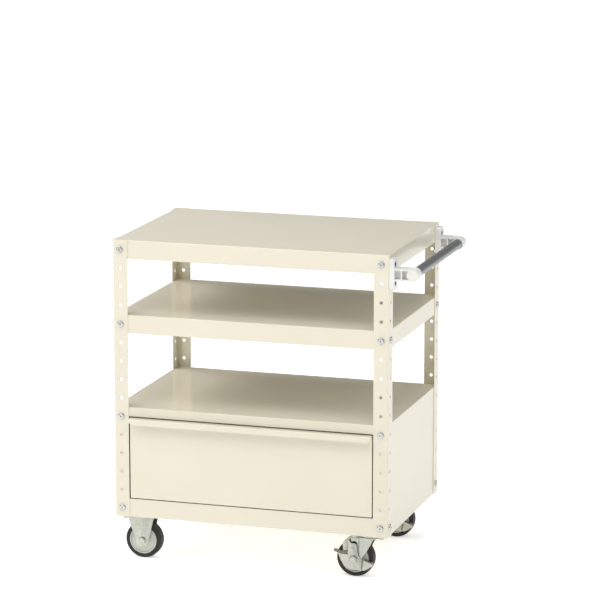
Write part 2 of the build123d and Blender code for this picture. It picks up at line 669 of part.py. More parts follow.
# ---------------------------------------------------------------- caster fasteners
caster_bolts = []
caster_nuts = []
for spot_x, spot_y in plate_hole_spots():
    head = hexagon_bar(NUT_ACROSS_FLATS, HEX_HEAD_HEIGHT)
    shank = extrude(Circle(BOLT_DIAMETER / 2), amount=-CASTER_BOLT_LENGTH)
    under_plate = Pos(spot_x, spot_y, CABINET_FOOT_Z - PLATE_THICKNESS) * Rot(180, 0, 0)
    caster_bolts.append(under_plate * (head + shank))
    on_sheet = Pos(spot_x, spot_y, CABINET_FOOT_Z + SHEET) * Rot(180, 0, 0)
    caster_nuts.append(on_sheet * hexagon_nut())
pieces["caster_bolts"] = group(caster_bolts)
pieces["caster_nuts"] = group(caster_nuts)

# ---------------------------------------------------------------- wheels
# Each caster is drawn about its own axle, then moved to its corner.
WHEEL_RADIUS = WHEEL_DIAMETER / 2
RIM_RADIUS = WHEEL_RADIUS - TYRE_THICKNESS
LEG_OUTSIDE = FORK_GAP / 2 + FORK_SHEET
HUB_HALF = FORK_GAP / 2 - RUNNING_GAP
LEVER_INSIDE = LEG_OUTSIDE + RIB_HEIGHT + RUNNING_GAP
LEVER_OUTSIDE = LEVER_INSIDE + LEVER_SHEET
PEDAL_OUTSIDE = LEVER_OUTSIDE + PEDAL_SHEET


def tyre():
    """A solid rubber ring with rounded shoulders."""
    ring = tube_along_y(WHEEL_RADIUS, WHEEL_WIDTH)
    shoulders = ring.edges().filter_by(GeomType.CIRCLE)
    ring = fillet(shoulders, TYRE_SHOULDER_RADIUS)
    return ring - tube_along_y(RIM_RADIUS, 2 * WHEEL_WIDTH)


def rim():
    """The wheel centre: a hub, a dished disc and a band that carries the tyre."""
    half_band = WHEEL_WIDTH / 2 + RIM_PROUD
    hub = HUB_DIAMETER / 2
    bore = AXLE_DIAMETER / 2 + AXLE_GAP
    dish = half_band - RIM_DISH
    band_edge = RIM_RADIUS - RIM_DISH
    upper = [
        (bore, HUB_HALF),
        (hub, HUB_HALF),
        (hub + RIM_DISH, dish),
        (band_edge, dish),
        (band_edge + RIM_DISH / 2, half_band),
        (RIM_RADIUS, half_band),
    ]
    lower = [(radius, -height) for radius, height in reversed(upper)]
    outline = make_face(Polyline(*upper, *lower, close=True))
    section = Rot(90, 0, 0) * outline
    spun = revolve(section, Axis.Z, 360)
    return Rot(90, 0, 0) * spun


def axle(inside):
    """The wheel's bolt and nut: inside is half the distance that they grip."""
    head = Pos(0, 0, inside) * hexagon_bar(AXLE_HEAD_ACROSS_FLATS, AXLE_HEAD_HEIGHT)
    length = 2 * inside + AXLE_HEAD_HEIGHT + AXLE_THREAD_END
    shank = Pos(0, 0, inside) * extrude(Circle(AXLE_DIAMETER / 2), amount=-length)
    nut = Pos(0, 0, -inside) * hexagon_bar(AXLE_HEAD_ACROSS_FLATS, -AXLE_HEAD_HEIGHT)
    nut -= Cylinder(AXLE_DIAMETER / 2 + THREAD_GAP, 8 * inside)
    turn = Rot(90, 0, 0)
    return group([turn * (head + shank), turn * nut])


def mounting_plate(centre_x):
    """The square top plate, with its upper face AXLE_DROP above the axle."""
    plate = Box(PLATE_SIZE, PLATE_SIZE, PLATE_THICKNESS)
    plate = fillet(plate.edges().filter_by(Axis.Z), PLATE_CORNER_RADIUS)
    half = PLATE_HOLE_SPACING / 2
    for across_x in (-half, half):
        for across_y in (-half, half):
            plate -= Pos(across_x, across_y, 0) * Cylinder(HOLE_DIAMETER / 2, 4 * PLATE_THICKNESS)
    return Pos(centre_x, 0, AXLE_DROP - PLATE_THICKNESS / 2) * plate


def both_legs(outline, inside, outside):
    """The same plate on each side of the wheel."""
    return upright_plate(outline, inside, outside) + upright_plate(outline, -outside, -inside)


def leg_ends(radius):
    """The rounded ends of both legs, about the axle."""
    centre_y = (FORK_GAP + FORK_SHEET) / 2
    end = tube_along_y(radius, FORK_SHEET)
    return Pos(0, centre_y, 0) * end + Pos(0, -centre_y, 0) * end


def axle_hole(gap):
    return tube_along_y(AXLE_DIAMETER / 2 + gap, 4 * LEVER_OUTSIDE)


def rigid_fork():
    """A plate with two tapered legs, pressed and welded as one piece, that lean to the axle."""
    top = AXLE_DROP - PLATE_THICKNESS
    half_top = RIGID_LEG_TOP_WIDTH / 2
    end = RIGID_LEG_END_RADIUS
    low = end / 4
    half_low = (end**2 - low**2) ** 0.5
    outline = [
        (-RIGID_TRAIL - half_top, top),
        (-RIGID_TRAIL + half_top, top),
        (half_low, low),
        (-half_low, low),
    ]
    fork = mounting_plate(-RIGID_TRAIL) + both_legs(outline, FORK_GAP / 2, LEG_OUTSIDE)
    return fork + leg_ends(end) - axle_hole(THREAD_GAP)


def swivel_fork():
    """Two legs that trail behind the kingpin, joined by the crown."""
    pin_x = SWIVEL_TRAIL
    back = pin_x - CROWN_TO_WHEEL_SIDE
    ahead = pin_x + CROWN_TO_FREE_SIDE
    end = SWIVEL_LEG_END_RADIUS
    skirt_z = CROWN_RISE - CROWN_SKIRT
    outline = [
        (back, CROWN_RISE),
        (ahead, CROWN_RISE),
        (HEEL_REACH, HEEL_RISE),
        (end, 0),
        (-end, 0),
        (THROAT_REACH, THROAT_RISE),
        (THROAT_REACH / 2, skirt_z),
        (back / 2, skirt_z),
        (back, THROAT_RISE + CROWN_SKIRT / 2),
    ]
    # The outer part of each leg is pressed out proud of the rest, as far in as the crease.
    rib = [
        (RIB_START, CROWN_RISE),
        (ahead, CROWN_RISE),
        (HEEL_REACH, HEEL_RISE),
        (RIB_START, HEEL_RISE),
    ]
    fork = both_legs(outline, FORK_GAP / 2, LEG_OUTSIDE) + leg_ends(end)
    fork += both_legs(rib, LEG_OUTSIDE, LEG_OUTSIDE + RIB_HEIGHT)
    crown_z = (CROWN_RISE - FORK_SHEET, CROWN_RISE)
    fork += block((back, ahead), (-LEG_OUTSIDE, LEG_OUTSIDE), crown_z)
    disc = Cylinder(RACE_DIAMETER / 2, FORK_SHEET)
    fork += Pos(pin_x, 0, CROWN_RISE - FORK_SHEET / 2) * disc
    pin_hole = Cylinder(KINGPIN_DIAMETER / 2 + AXLE_GAP, 4 * FORK_SHEET)
    fork -= Pos(pin_x, 0, CROWN_RISE) * pin_hole
    return fork - axle_hole(THREAD_GAP)


def swivel_race():
    """The bearing ring between the plate and the crown."""
    low = CROWN_RISE + RUNNING_GAP
    high = AXLE_DROP - PLATE_THICKNESS
    ring = Cylinder(RACE_DIAMETER / 2, high - low)
    ring -= Cylinder(KINGPIN_DIAMETER / 2 + THREAD_GAP, 4 * high)
    low_edge = ring.faces().sort_by(Axis.Z)[0].outer_wire().edges()
    ring = fillet(low_edge, RACE_EDGE_RADIUS)
    return Pos(SWIVEL_TRAIL, 0, (low + high) / 2) * ring


def kingpin():
    """The rivet that the fork turns on, its head under the crown."""
    head_top = CROWN_RISE - FORK_SHEET - RUNNING_GAP
    head = extrude(Circle(KINGPIN_HEAD_DIAMETER / 2), amount=-KINGPIN_HEAD_HEIGHT)
    shank = extrude(Circle(KINGPIN_DIAMETER / 2), amount=AXLE_DROP - head_top)
    return Pos(SWIVEL_TRAIL, 0, head_top) * (head + shank)


def swivel_caster_plate():
    """The mounting plate over the kingpin, which is riveted into it."""
    pin_hole = Cylinder(KINGPIN_DIAMETER / 2 + THREAD_GAP, 4 * PLATE_THICKNESS)
    return mounting_plate(SWIVEL_TRAIL) - Pos(SWIVEL_TRAIL, 0, AXLE_DROP) * pin_hole


PEDAL_ROOT = WHEEL_RADIUS + RUNNING_GAP
PEDAL_LOW = PEDAL_RISE - PEDAL_FALL
FENDER_RADIUS = WHEEL_RADIUS + FENDER_GAP


def at_angle(radius, degrees):
    """A point about the axle, by its distance and its angle from +X towards +Z."""
    return (radius * math.cos(math.radians(degrees)), radius * math.sin(math.radians(degrees)))


def lever_fender():
    """The curved bridge over the tread that joins the lever's two plates."""
    ring = tube_along_y(FENDER_RADIUS + LEVER_SHEET, 2 * LEVER_OUTSIDE)
    ring -= tube_along_y(FENDER_RADIUS, 4 * LEVER_OUTSIDE)
    reach = 2 * FENDER_RADIUS
    wedge = [(0, 0)] + [at_angle(reach, angle) for angle in FENDER_ANGLES]
    return ring & upright_plate(wedge, -LEVER_OUTSIDE, LEVER_OUTSIDE)


def brake_lever():
    """Two plates that rock on the axle, joined over the tread. The near one has the pedal's arm
    and the long tail."""
    outside = FENDER_RADIUS + LEVER_SHEET
    ahead, behind = [at_angle(outside, angle) for angle in FENDER_ANGLES]
    edge_x = behind[0]
    hip = LEVER_HIP
    tail = LEVER_TAIL_REACH
    tail_z = -LEVER_TAIL_DROP
    foot_z = -LEVER_FOOT_DROP
    sole_z = -LEVER_SOLE_DROP
    arm = [
        (-LEVER_ARM_REACH, PEDAL_LOW),
        (-PEDAL_ROOT, PEDAL_RISE),
        (-PEDAL_ROOT, PEDAL_RISE + PEDAL_TAB_THICKNESS),
    ]
    upper = [
        (edge_x, PEDAL_RISE),
        behind,
        ahead,
        (-LEVER_SHOULDER, LEVER_CROWN),
        (LEVER_SHOULDER, LEVER_CROWN),
        (LEVER_SHOULDER, LEVER_WAIST),
        (hip, 0),
    ]
    tail_end = [
        (tail, tail_z),
        (tail, tail_z - LEVER_TAIL_DEPTH),
        (tail - hip / 2, foot_z),
        (hip / 4, foot_z),
    ]
    lower = [
        (hip / 4, sole_z),
        (-LEVER_HEEL_REACH, sole_z),
        (-LEVER_CHEEK_REACH, 0),
    ]
    near = upright_plate(arm + upper + tail_end + lower, -LEVER_OUTSIDE, -LEVER_INSIDE)
    far = upright_plate(upper + lower, LEVER_INSIDE, LEVER_OUTSIDE)
    return near + far + lever_fender() - axle_hole(AXLE_GAP)


def brake_pedal():
    """The foot pedal: a strip along the near plate of the lever, with a tab turned in at its tip."""
    tab = block(
        (-PEDAL_ROOT, -WHEEL_RADIUS - PEDAL_REACH),
        (-PEDAL_OUTSIDE, -PEDAL_OUTSIDE + PEDAL_TAB_DEPTH),
        (PEDAL_RISE, PEDAL_RISE + PEDAL_TAB_THICKNESS),
    )
    tip_edges = tab.edges().filter_by(Axis.Z).sort_by(Axis.X)[:2]
    tab = fillet(tip_edges, PEDAL_CORNER_RADIUS)
    strip = [
        (-PEDAL_ROOT, PEDAL_RISE),
        (-PEDAL_ROOT, PEDAL_RISE + PEDAL_HEIGHT),
        (-PEDAL_STRIP_END, PEDAL_LOW + PEDAL_STRIP_END_HEIGHT),
        (-PEDAL_STRIP_END, PEDAL_LOW),
        (-2 * PEDAL_STRIP_END, PEDAL_LOW),
    ]
    return tab + upright_plate(strip, -PEDAL_OUTSIDE, -LEVER_OUTSIDE)


for corner, (side_x, side_y) in CORNERS.items():
    swivels = side_x > 0
    axle_x = side_x * CASTER_X - (SWIVEL_TRAIL if swivels else -RIGID_TRAIL)
    at_axle = Pos(axle_x, side_y * CASTER_Y, WHEEL_RADIUS)
    pieces[f"{corner}_tyre"] = at_axle * tyre()
    pieces[f"{corner}_rim"] = at_axle * rim()
    if swivels:
        pieces[f"{corner}_caster_plate"] = at_axle * swivel_caster_plate()
        pieces[f"{corner}_swivel_race"] = at_axle * swivel_race()
        pieces[f"{corner}_kingpin"] = at_axle * kingpin()
        pieces[f"{corner}_fork"] = at_axle * swivel_fork()
        pieces[f"{corner}_brake_lever"] = at_axle * brake_lever()
        pieces[f"{corner}_brake_pedal"] = at_axle * brake_pedal()
        pieces[f"{corner}_axle"] = at_axle * axle(LEVER_OUTSIDE + RUNNING_GAP)
    else:
        pieces[f"{corner}_fork"] = at_axle * rigid_fork()
        pieces[f"{corner}_axle"] = at_axle * axle(LEG_OUTSIDE)

# ---------------------------------------------------------------- origin and export
# The finished part stands on z 0, with its origin in the middle of the floor area it covers.
LEFT_REACH = POST_X + BOLT_HEAD_HEIGHT
RIGHT_REACH = BAR_X + BOSS_DIAMETER / 2
FRONT_REACH = POST_Y + PULL_REACH
REAR_REACH = POST_Y + BOLT_HEAD_HEIGHT
ORIGIN = Pos((LEFT_REACH - RIGHT_REACH) / 2, (FRONT_REACH - REAR_REACH) / 2, 0)

os.makedirs("parts", exist_ok=True)
for name, piece in pieces.items():
    export_step(ORIGIN * piece, f"parts/{name}.step")
print(len(pieces), "sub-parts")
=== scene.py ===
from math import acos, atan2, cos, degrees, hypot, pi, radians, sin
import bmesh
import bpy
from mathutils import Matrix, Vector


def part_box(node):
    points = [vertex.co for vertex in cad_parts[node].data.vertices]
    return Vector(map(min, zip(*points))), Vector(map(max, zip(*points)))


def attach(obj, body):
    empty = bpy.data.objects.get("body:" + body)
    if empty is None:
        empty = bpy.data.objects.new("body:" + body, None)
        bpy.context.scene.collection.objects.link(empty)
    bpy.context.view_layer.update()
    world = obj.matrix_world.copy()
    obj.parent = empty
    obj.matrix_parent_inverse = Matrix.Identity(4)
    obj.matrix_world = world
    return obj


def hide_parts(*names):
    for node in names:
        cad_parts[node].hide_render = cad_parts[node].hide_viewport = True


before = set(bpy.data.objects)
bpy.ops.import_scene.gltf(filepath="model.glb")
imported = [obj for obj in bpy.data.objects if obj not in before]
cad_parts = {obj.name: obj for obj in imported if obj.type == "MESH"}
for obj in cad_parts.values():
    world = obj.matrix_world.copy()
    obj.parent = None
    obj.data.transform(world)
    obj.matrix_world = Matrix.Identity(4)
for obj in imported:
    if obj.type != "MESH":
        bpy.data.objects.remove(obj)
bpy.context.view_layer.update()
bpy.ops.object.select_all(action="DESELECT")
mm = 0.001

# ------------------------------------------------------------------------------------ posts
# Four uprights, each a 40 by 40 mm angle rolled from 2 mm steel with its corner outwards. A ladder
# of 9 mm holes at a 50 mm pitch is punched along both flanges before the angle is powder coated.
post_sheet = 2.0 * mm
post_corner_radius = 3.0 * mm
hole_radius = 4.5 * mm
hole_pitch = 50.0 * mm
hole_count = 15
hole_to_corner = 20.0 * mm
hole_to_end = 25.0 * mm
drill_length = 10.0 * mm
post_edge = 0.35 * mm
corners = {
    "front_left": (-1, -1),
    "front_right": (1, -1),
    "rear_left": (-1, 1),
    "rear_right": (1, 1),
}


def sheet_box(name, low, high):
    """A cube stretched between two corners, in edit mode, with nothing selected."""
    low, high = Vector(low), Vector(high)
    bpy.ops.mesh.primitive_cube_add(size=1, location=(low + high) / 2, scale=high - low)
    piece = bpy.context.object
    piece.name = piece.data.name = name
    bpy.ops.object.transform_apply(location=True, rotation=True, scale=True)
    bpy.ops.object.mode_set(mode="EDIT")
    bpy.ops.mesh.select_all(action="DESELECT")
    return piece


def choose(piece, kind, rule):
    """In edit mode, selects only the faces, edges or corners that a rule picks."""
    bpy.ops.mesh.select_mode(type=kind)
    bpy.ops.mesh.select_all(action="DESELECT")
    mesh = bmesh.from_edit_mesh(piece.data)
    for element in {"VERT": mesh.verts, "EDGE": mesh.edges, "FACE": mesh.faces}[kind]:
        if rule(element):
            element.select_set(True)
    bmesh.update_edit_mesh(piece.data)


def cut_away(piece, rule):
    """In edit mode, deletes the faces that a rule picks."""
    choose(piece, "FACE", rule)
    bpy.ops.mesh.delete(type="FACE")


def round_edges(piece, radius, segments, rule):
    """In edit mode, rounds the edges that a rule picks."""
    choose(piece, "EDGE", rule)
    bpy.ops.mesh.bevel(offset=radius, segments=segments, affect="EDGES")


def runs_along(edge, axis):
    """True for an edge that lies along axis 0, 1 or 2."""
    run = edge.verts[1].co - edge.verts[0].co
    return abs(run[axis]) > 0.99 * run.length


def between_faces(edge):
    """True for an edge that two faces share, where a sheet is folded."""
    return len(edge.link_faces) == 2


def modify(piece, kind, **settings):
    """Adds a modifier to a piece and applies it."""
    bpy.context.view_layer.objects.active = piece
    modifier = piece.modifiers.new(kind.lower(), kind)
    for name, value in settings.items():
        setattr(modifier, name, value)
    bpy.ops.object.modifier_apply(modifier=modifier.name)


def cylinder(name, centre, axis, radius, length, sides=24):
    """A closed cylinder along axis 0, 1 or 2."""
    turn = {0: (0, pi / 2, 0), 1: (pi / 2, 0, 0), 2: (0, 0, 0)}[axis]
    bpy.ops.mesh.primitive_cylinder_add(
        vertices=sides, radius=radius, depth=length, location=centre, rotation=turn
    )
    rod = bpy.context.object
    rod.name = rod.data.name = name
    bpy.ops.object.transform_apply(location=True, rotation=True, scale=True)
    return rod


def combine(piece, tool, operation="DIFFERENCE"):
    """Cuts another solid out of a piece, or welds it on, and deletes that solid."""
    modify(piece, "BOOLEAN", object=tool, operation=operation, solver="EXACT")
    bpy.data.meshes.remove(tool.data)


def drill_ladder(piece, start, axis, count=1):
    """A row of equal bolt holes along axis 0 or 1, down from a start point."""
    drill = cylinder("drill", start, axis, hole_radius, drill_length)
    modify(
        drill, "ARRAY", count=count, use_relative_offset=False,
        use_constant_offset=True, constant_offset_displace=(0, 0, -hole_pitch),
    )
    combine(piece, drill)


def thicken(piece, sheet):
    """Ends the editing of a folded skin and gives it its sheet's thickness, inwards."""
    bpy.ops.object.mode_set(mode="OBJECT")
    modify(piece, "SOLIDIFY", thickness=sheet, offset=-1.0, use_even_offset=True)


def finish_edges(piece, width, segments=2, angle=35):
    """Rounds the sharp edges of a finished shape and shades it smooth up to an angle."""
    modify(
        piece, "BEVEL", width=width, segments=segments, limit_method="ANGLE",
        angle_limit=radians(angle), use_clamp_overlap=True,
    )
    smooth(piece)


def smooth(piece, angle=35):
    """Shades a piece smooth, except across sharp edges, and keeps its flat faces evenly lit."""
    bpy.ops.object.select_all(action="DESELECT")
    piece.select_set(True)
    bpy.context.view_layer.objects.active = piece
    bpy.ops.object.shade_smooth_by_angle(angle=radians(angle))
    bpy.ops.object.select_all(action="DESELECT")
    modify(piece, "WEIGHTED_NORMAL", keep_sharp=True)


def place(piece, body, slot, material, *nodes):
    """Gives a piece its material, its body and the nodes that it stands for. Its finish slot is not
    used.
    """
    piece.data.materials.clear()
    piece.data.materials.append(material)
    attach(piece, body)
    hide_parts(*nodes)


def linear(hex_colour):
    """An sRGB hex colour as linear red, green, blue and alpha."""
    channels = [int(hex_colour[i:i + 2], 16) / 255 for i in (1, 3, 5)]
    return [c / 12.92 if c <= 0.04045 else ((c + 0.055) / 1.055) ** 2.4 for c in channels] + [1.0]


def add_node(tree, kind, inputs=(), **settings):
    """Adds a shader node. settings are its own; inputs are values, or sockets to link from."""
    node = tree.nodes.new(kind)
    for name, value in settings.items():
        setattr(node, name, value)
    for name, value in dict(inputs).items():
        if isinstance(value, bpy.types.NodeSocket):
            tree.links.new(value, node.inputs[name])
        else:
            node.inputs[name].default_value = value
    return node


def new_material(name):
    """A material with no nodes but its Object coordinates."""
    material = bpy.data.materials.new(name)
    material.use_nodes = True
    tree = material.node_tree
    tree.nodes.clear()
    return material, tree, add_node(tree, "ShaderNodeTexCoord").outputs["Object"]


# The values that most of a noise pattern lies between, how much a pattern is drawn out where it
# streaks, and how far a rounded normal leans where a worn edge begins and where it is fullest.
noise_low, noise_high = 0.3, 0.7
streak_scale = 0.02
lean_begins, lean_fullest = 0.995, 0.85


def surface(
    name, colours, broad, fine, relief, roughness, constants, shift=1.0, streaks=False, wear=None
):
    """A material with two patterns, each given as its size in millimetres and its detail. The broad
    one shifts the shade from the first colour towards the second. The fine one, drawn out along Y
    where it streaks, gives the relief, as strength and depth, and the roughness, as a range. Wear
    is a width, a strength and the colour of sharp outer edges."""
    material, tree, place_of = new_material(name)
    fine_place = place_of
    if streaks:
        drawn_out = {"Vector": place_of, "Scale": (1.0, streak_scale, 1.0)}
        fine_place = add_node(tree, "ShaderNodeMapping", drawn_out).outputs["Vector"]
    patches, grain = [
        add_node(tree, "ShaderNodeTexNoise", {
            "Vector": where, "Scale": 1000.0 / size_mm, "Detail": detail,
        })
        for where, (size_mm, detail) in ((place_of, broad), (fine_place, fine))
    ]
    shade, rough = [
        add_node(tree, "ShaderNodeMapRange", {
            "Value": pattern.outputs["Fac"],
            "From Min": noise_low, "From Max": noise_high, "To Min": lowest, "To Max": highest,
        })
        for pattern, (lowest, highest) in ((patches, (0.0, shift)), (grain, roughness))
    ]
    first, second = (linear(colour) for colour in colours)
    base = add_node(
        tree, "ShaderNodeMix", {0: shade.outputs["Result"], 6: first, 7: second}, data_type="RGBA"
    )
    if wear:
        # An edge is worn as far as a rounded normal leans away from the flat one there.
        wear_width, wear_strength, worn_colour = wear
        rounded = add_node(tree, "ShaderNodeBevel", {"Radius": wear_width}, samples=4)
        flat = add_node(tree, "ShaderNodeNewGeometry")
        normals = {0: rounded.outputs["Normal"], 1: flat.outputs["Normal"]}
        lean = add_node(tree, "ShaderNodeVectorMath", normals, operation="DOT_PRODUCT")
        worn = add_node(tree, "ShaderNodeMapRange", {
            "Value": lean.outputs["Value"],
            "From Min": lean_begins, "From Max": lean_fullest, "To Max": wear_strength,
        })
        layers = {0: worn.outputs["Result"], 6: base.outputs[2], 7: linear(worn_colour)}
        base = add_node(tree, "ShaderNodeMix", layers, data_type="RGBA")
    strength, depth = relief
    height = {"Height": grain.outputs["Fac"], "Strength": strength, "Distance": depth}
    bump = add_node(tree, "ShaderNodeBump", height)
    shader = add_node(tree, "ShaderNodeBsdfPrincipled", {
        "Base Color": base.outputs[2],
        "Roughness": rough.outputs["Result"],
        "Normal": bump.outputs["Normal"],
        **constants,
    })
    add_node(tree, "ShaderNodeOutputMaterial", {"Surface": shader.outputs["BSDF"]})
    return material


# Polyester powder, sprayed on dry and baked until it flows: an even semi-gloss film with slight
# drifts of shade, and a thinner, paler film over sharp edges. Its orange peel is about 1.5 mm
# across, and is drawn at 4 mm, as coarse as it needs to be to show.
ivory_coat = surface(
    "ivory_polyester_powder_coat", ("#E2DCC9", "#DFD9C6"), broad=(220, 1.0), fine=(4, 2.0),
    relief=(0.06, 0.06 * mm), roughness=(0.10, 0.15), constants={"IOR": 1.5},
    wear=(1.2 * mm, 0.6, "#E9E4D4"),
)


def powder_coat(piece, body, node):
    """Gives a steel pressing its coat and places it."""
    place(piece, body, "ivory_powder_coat", ivory_coat, node)


def top_holes(corner):
    """A post's top holes: the one in its front or rear flange and the one in its end flange."""
    side_x, side_y = corners[corner]
    low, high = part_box(f"{corner}_post")
    corner_x = high.x if side_x > 0 else low.x
    corner_y = high.y if side_y > 0 else low.y
    z = high.z - hole_to_end
    across = (corner_x - side_x * hole_to_corner, corner_y, z)
    along = (corner_x, corner_y - side_y * hole_to_corner, z)
    return across, along


for corner, (side_x, side_y) in corners.items():
    low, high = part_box(f"{corner}_post")
    post = sheet_box(f"{corner}_angle_post", low, high)
    cut_away(post, lambda face: face.normal.x * side_x < 0.5 and face.normal.y * side_y < 0.5)
    round_edges(
        post, post_corner_radius, 4, lambda edge: runs_along(edge, 2) and between_faces(edge)
    )
    thicken(post, post_sheet)
    across, along = top_holes(corner)
    drill_ladder(post, across, 1, hole_count)
    drill_ladder(post, along, 0, hole_count)
    finish_edges(post, post_edge)
    powder_coat(post, "frame", f"{corner}_post")

# ------------------------------------------------------------------------------------ open shelves
# The top and middle shelves are single sheets of 1.2 mm steel. Each has its four sides folded down
# into 50 mm lips with a narrow hem turned in below, and is bolted inside the posts.
shelf_sheet = 1.2 * mm
fold_radius = 2.5 * mm
hem_width = 13.0 * mm
shelf_edge = 0.3 * mm
nearly = 0.1 * mm


def middle(edge):
    """The midpoint of an edge."""
    return (edge.verts[0].co + edge.verts[1].co) / 2


def fold_in(piece, size, inwards, centre, rule):
    """In edit mode, folds in the rim that a rule picks, by so much on each side in X, Y and Z."""
    choose(piece, "EDGE", rule)
    bpy.ops.mesh.extrude_region_move()
    narrower = [(length - 2 * inset) / length for length, inset in zip(size, inwards)]
    bpy.ops.transform.resize(value=narrower, center_override=centre)


def face_outwards():
    """In edit mode, turns every face outwards."""
    bpy.ops.mesh.select_all(action="SELECT")
    bpy.ops.mesh.normals_make_consistent(inside=False)


def folded_tray(name, low, high, opens, hem):
    """A sheet with four folded lips, which stand up where opens is 1 and hang where it is -1."""
    tray = sheet_box(name, low, high)
    rim_z = high.z if opens > 0 else low.z
    cut_away(tray, lambda face: face.normal.z * opens > 0.5)
    if hem:
        fold_in(
            tray, high - low, (hem, hem, 0), (low + high) / 2,
            lambda edge: abs(middle(edge).z - rim_z) < nearly,
        )
    round_edges(tray, fold_radius, 3, between_faces)
    face_outwards()
    thicken(tray, shelf_sheet)
    return tray


def finish_tray(tray, low, high, hole_z, node):
    """Drills a tray's lips for the bolts to the posts, finishes its edges and coats it."""
    inset = hole_to_corner - post_sheet
    for x in (low.x + inset, high.x - inset):
        for y in (low.y, high.y):
            drill_ladder(tray, (x, y, hole_z), 1)
    for y in (low.y + inset, high.y - inset):
        for x in (low.x, high.x):
            drill_ladder(tray, (x, y, hole_z), 0)
    finish_edges(tray, shelf_edge, angle=50)
    powder_coat(tray, "frame", node)


for shelf in ("top_shelf", "middle_shelf"):
    low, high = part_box(shelf)
    tray = folded_tray(f"{shelf}_tray", low, high, -1, hem_width)
    finish_tray(tray, low, high, high.z - hole_to_end, shelf)

# ------------------------------------------------------------------------------------ cabinet
# The cabinet's top is a tray whose front lip is only 25 mm high between the posts, so that the
# drawer can be tall, and its floor is a tray with its lips up. Its end panels have a narrow stile
# folded in behind each front post. The flat back is screwed on between them.
front_lip = 25.0 * mm
tray_lip = 50.0 * mm
cut_margin = 5.0 * mm
stile_gap = 0.5 * mm
stile_bend = 1.0 * mm

low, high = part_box("cabinet_top")
left_stile_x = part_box("cabinet_left_side")[1].x
right_stile_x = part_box("cabinet_right_side")[0].x
cabinet_top = folded_tray("cabinet_top_tray", low, high, -1, 0)
lip_cutter = sheet_box(
    "cutter",
    (left_stile_x, low.y - cut_margin, low.z - cut_margin),
    (right_stile_x, low.y + cut_margin, high.z - front_lip),
)
bpy.ops.object.mode_set(mode="OBJECT")
combine(cabinet_top, lip_cutter)
finish_tray(cabinet_top, low, high, high.z - hole_to_end, "cabinet_top")

low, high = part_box("cabinet_bottom")
cabinet_floor = folded_tray("cabinet_floor_tray", low, high, 1, 0)
finish_tray(cabinet_floor, low, high, low.z + hole_to_end, "cabinet_bottom")

for side, side_x in (("left", -1), ("right", 1)):
    low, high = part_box(f"cabinet_{side}_side")
    panel = sheet_box(f"cabinet_{side}_panel", low, high)
    stile_low = low.z + tray_lip + stile_gap
    stile_high = high.z - tray_lip - stile_gap
    cut_away(panel, lambda face: face.normal.x * side_x < 0.5 and face.normal.y > -0.5)
    for notch_z in (stile_low, stile_high):
        choose(panel, "FACE", lambda face: face.normal.y < -0.5)
        bpy.ops.mesh.bisect(plane_co=(0, 0, notch_z), plane_no=(0, 0, 1))
    cut_away(
        panel,
        lambda face: face.normal.y < -0.5
        and not stile_low < face.calc_center_median().z < stile_high,
    )
    round_edges(panel, stile_bend, 3, lambda edge: runs_along(edge, 2) and between_faces(edge))
    thicken(panel, shelf_sheet)
    finish_edges(panel, shelf_edge)
    powder_coat(panel, "frame", f"cabinet_{side}_side")


def finish_nodes(material, *nodes):
    """Gives the nodes that stay as they are their finish."""
    for node in nodes:
        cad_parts[node].material_slots[0].material = material


finish_nodes(ivory_coat, "cabinet_back")

# ------------------------------------------------------------------------------------ drawer
# One drawer fills the cabinet. Its front is a shallow pan of 1.2 mm steel, its body a folded box of
# 1 mm steel with safe edges, and the two are screwed together from inside. The pull is a folded
# channel of 2 mm steel along the whole front, rounded on top and open below for the fingers.
drawer_sheet = 1.0 * mm
front_flange = 24.0 * mm
pull_sheet = 2.0 * mm
pull_nose_radius = 6.0 * mm
pull_end_cut = 10.0 * mm
pan_fold = 1.3 * mm
body_fold = 0.9 * mm
safe_edge_gap = 2.2 * mm
safe_edge_height = 9.0 * mm


def extrude(shift):
    """In edit mode, extrudes the faces or edges that are selected and moves them."""
    bpy.ops.mesh.extrude_region_move(TRANSFORM_OT_translate={"value": shift})


low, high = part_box("drawer_front")
pan = sheet_box("drawer_front_pan", low, high)
cut_away(pan, lambda face: face.normal.y > 0.5)
fold_in(
    pan, high - low, (front_flange, 0, front_flange), (low + high) / 2,
    lambda edge: abs(middle(edge).y - high.y) < nearly,
)
round_edges(pan, pan_fold, 3, between_faces)
face_outwards()
thicken(pan, shelf_sheet)
finish_edges(pan, 0.25 * mm, angle=50)
powder_coat(pan, "drawer", "drawer_front")

low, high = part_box("drawer_body")
body = sheet_box("drawer_box", low, high)
cut_away(body, lambda face: face.normal.z > 0.5 or face.normal.y > 0.5)
# The safe edge: each wall's top is folded in and down on itself.
fold_in(
    body, high - low, (safe_edge_gap, safe_edge_gap / 2, 0), ((low.x + high.x) / 2, high.y, high.z),
    lambda edge: abs(middle(edge).z - high.z) < nearly,
)
extrude((0, 0, -safe_edge_height))
round_edges(
    body, body_fold, 2,
    lambda edge: between_faces(edge) and (
        runs_along(edge, 2) and abs(middle(edge).y - low.y) < nearly
        or not runs_along(edge, 2) and middle(edge).z > high.z - nearly
        or middle(edge).z < low.z + nearly
    ),
)
face_outwards()
thicken(body, drawer_sheet)
smooth(body)
powder_coat(body, "drawer", "drawer_body")
finish_nodes(ivory_coat, "drawer_back")

low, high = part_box("drawer_pull")
pull = sheet_box("drawer_pull_channel", low, high)
cut_away(pull, lambda face: face.normal.z < -0.5 or face.normal.y > 0.5)
round_edges(
    pull, pull_nose_radius, 8,
    lambda edge: middle(edge).y < low.y + nearly and middle(edge).z > high.z - nearly,
)
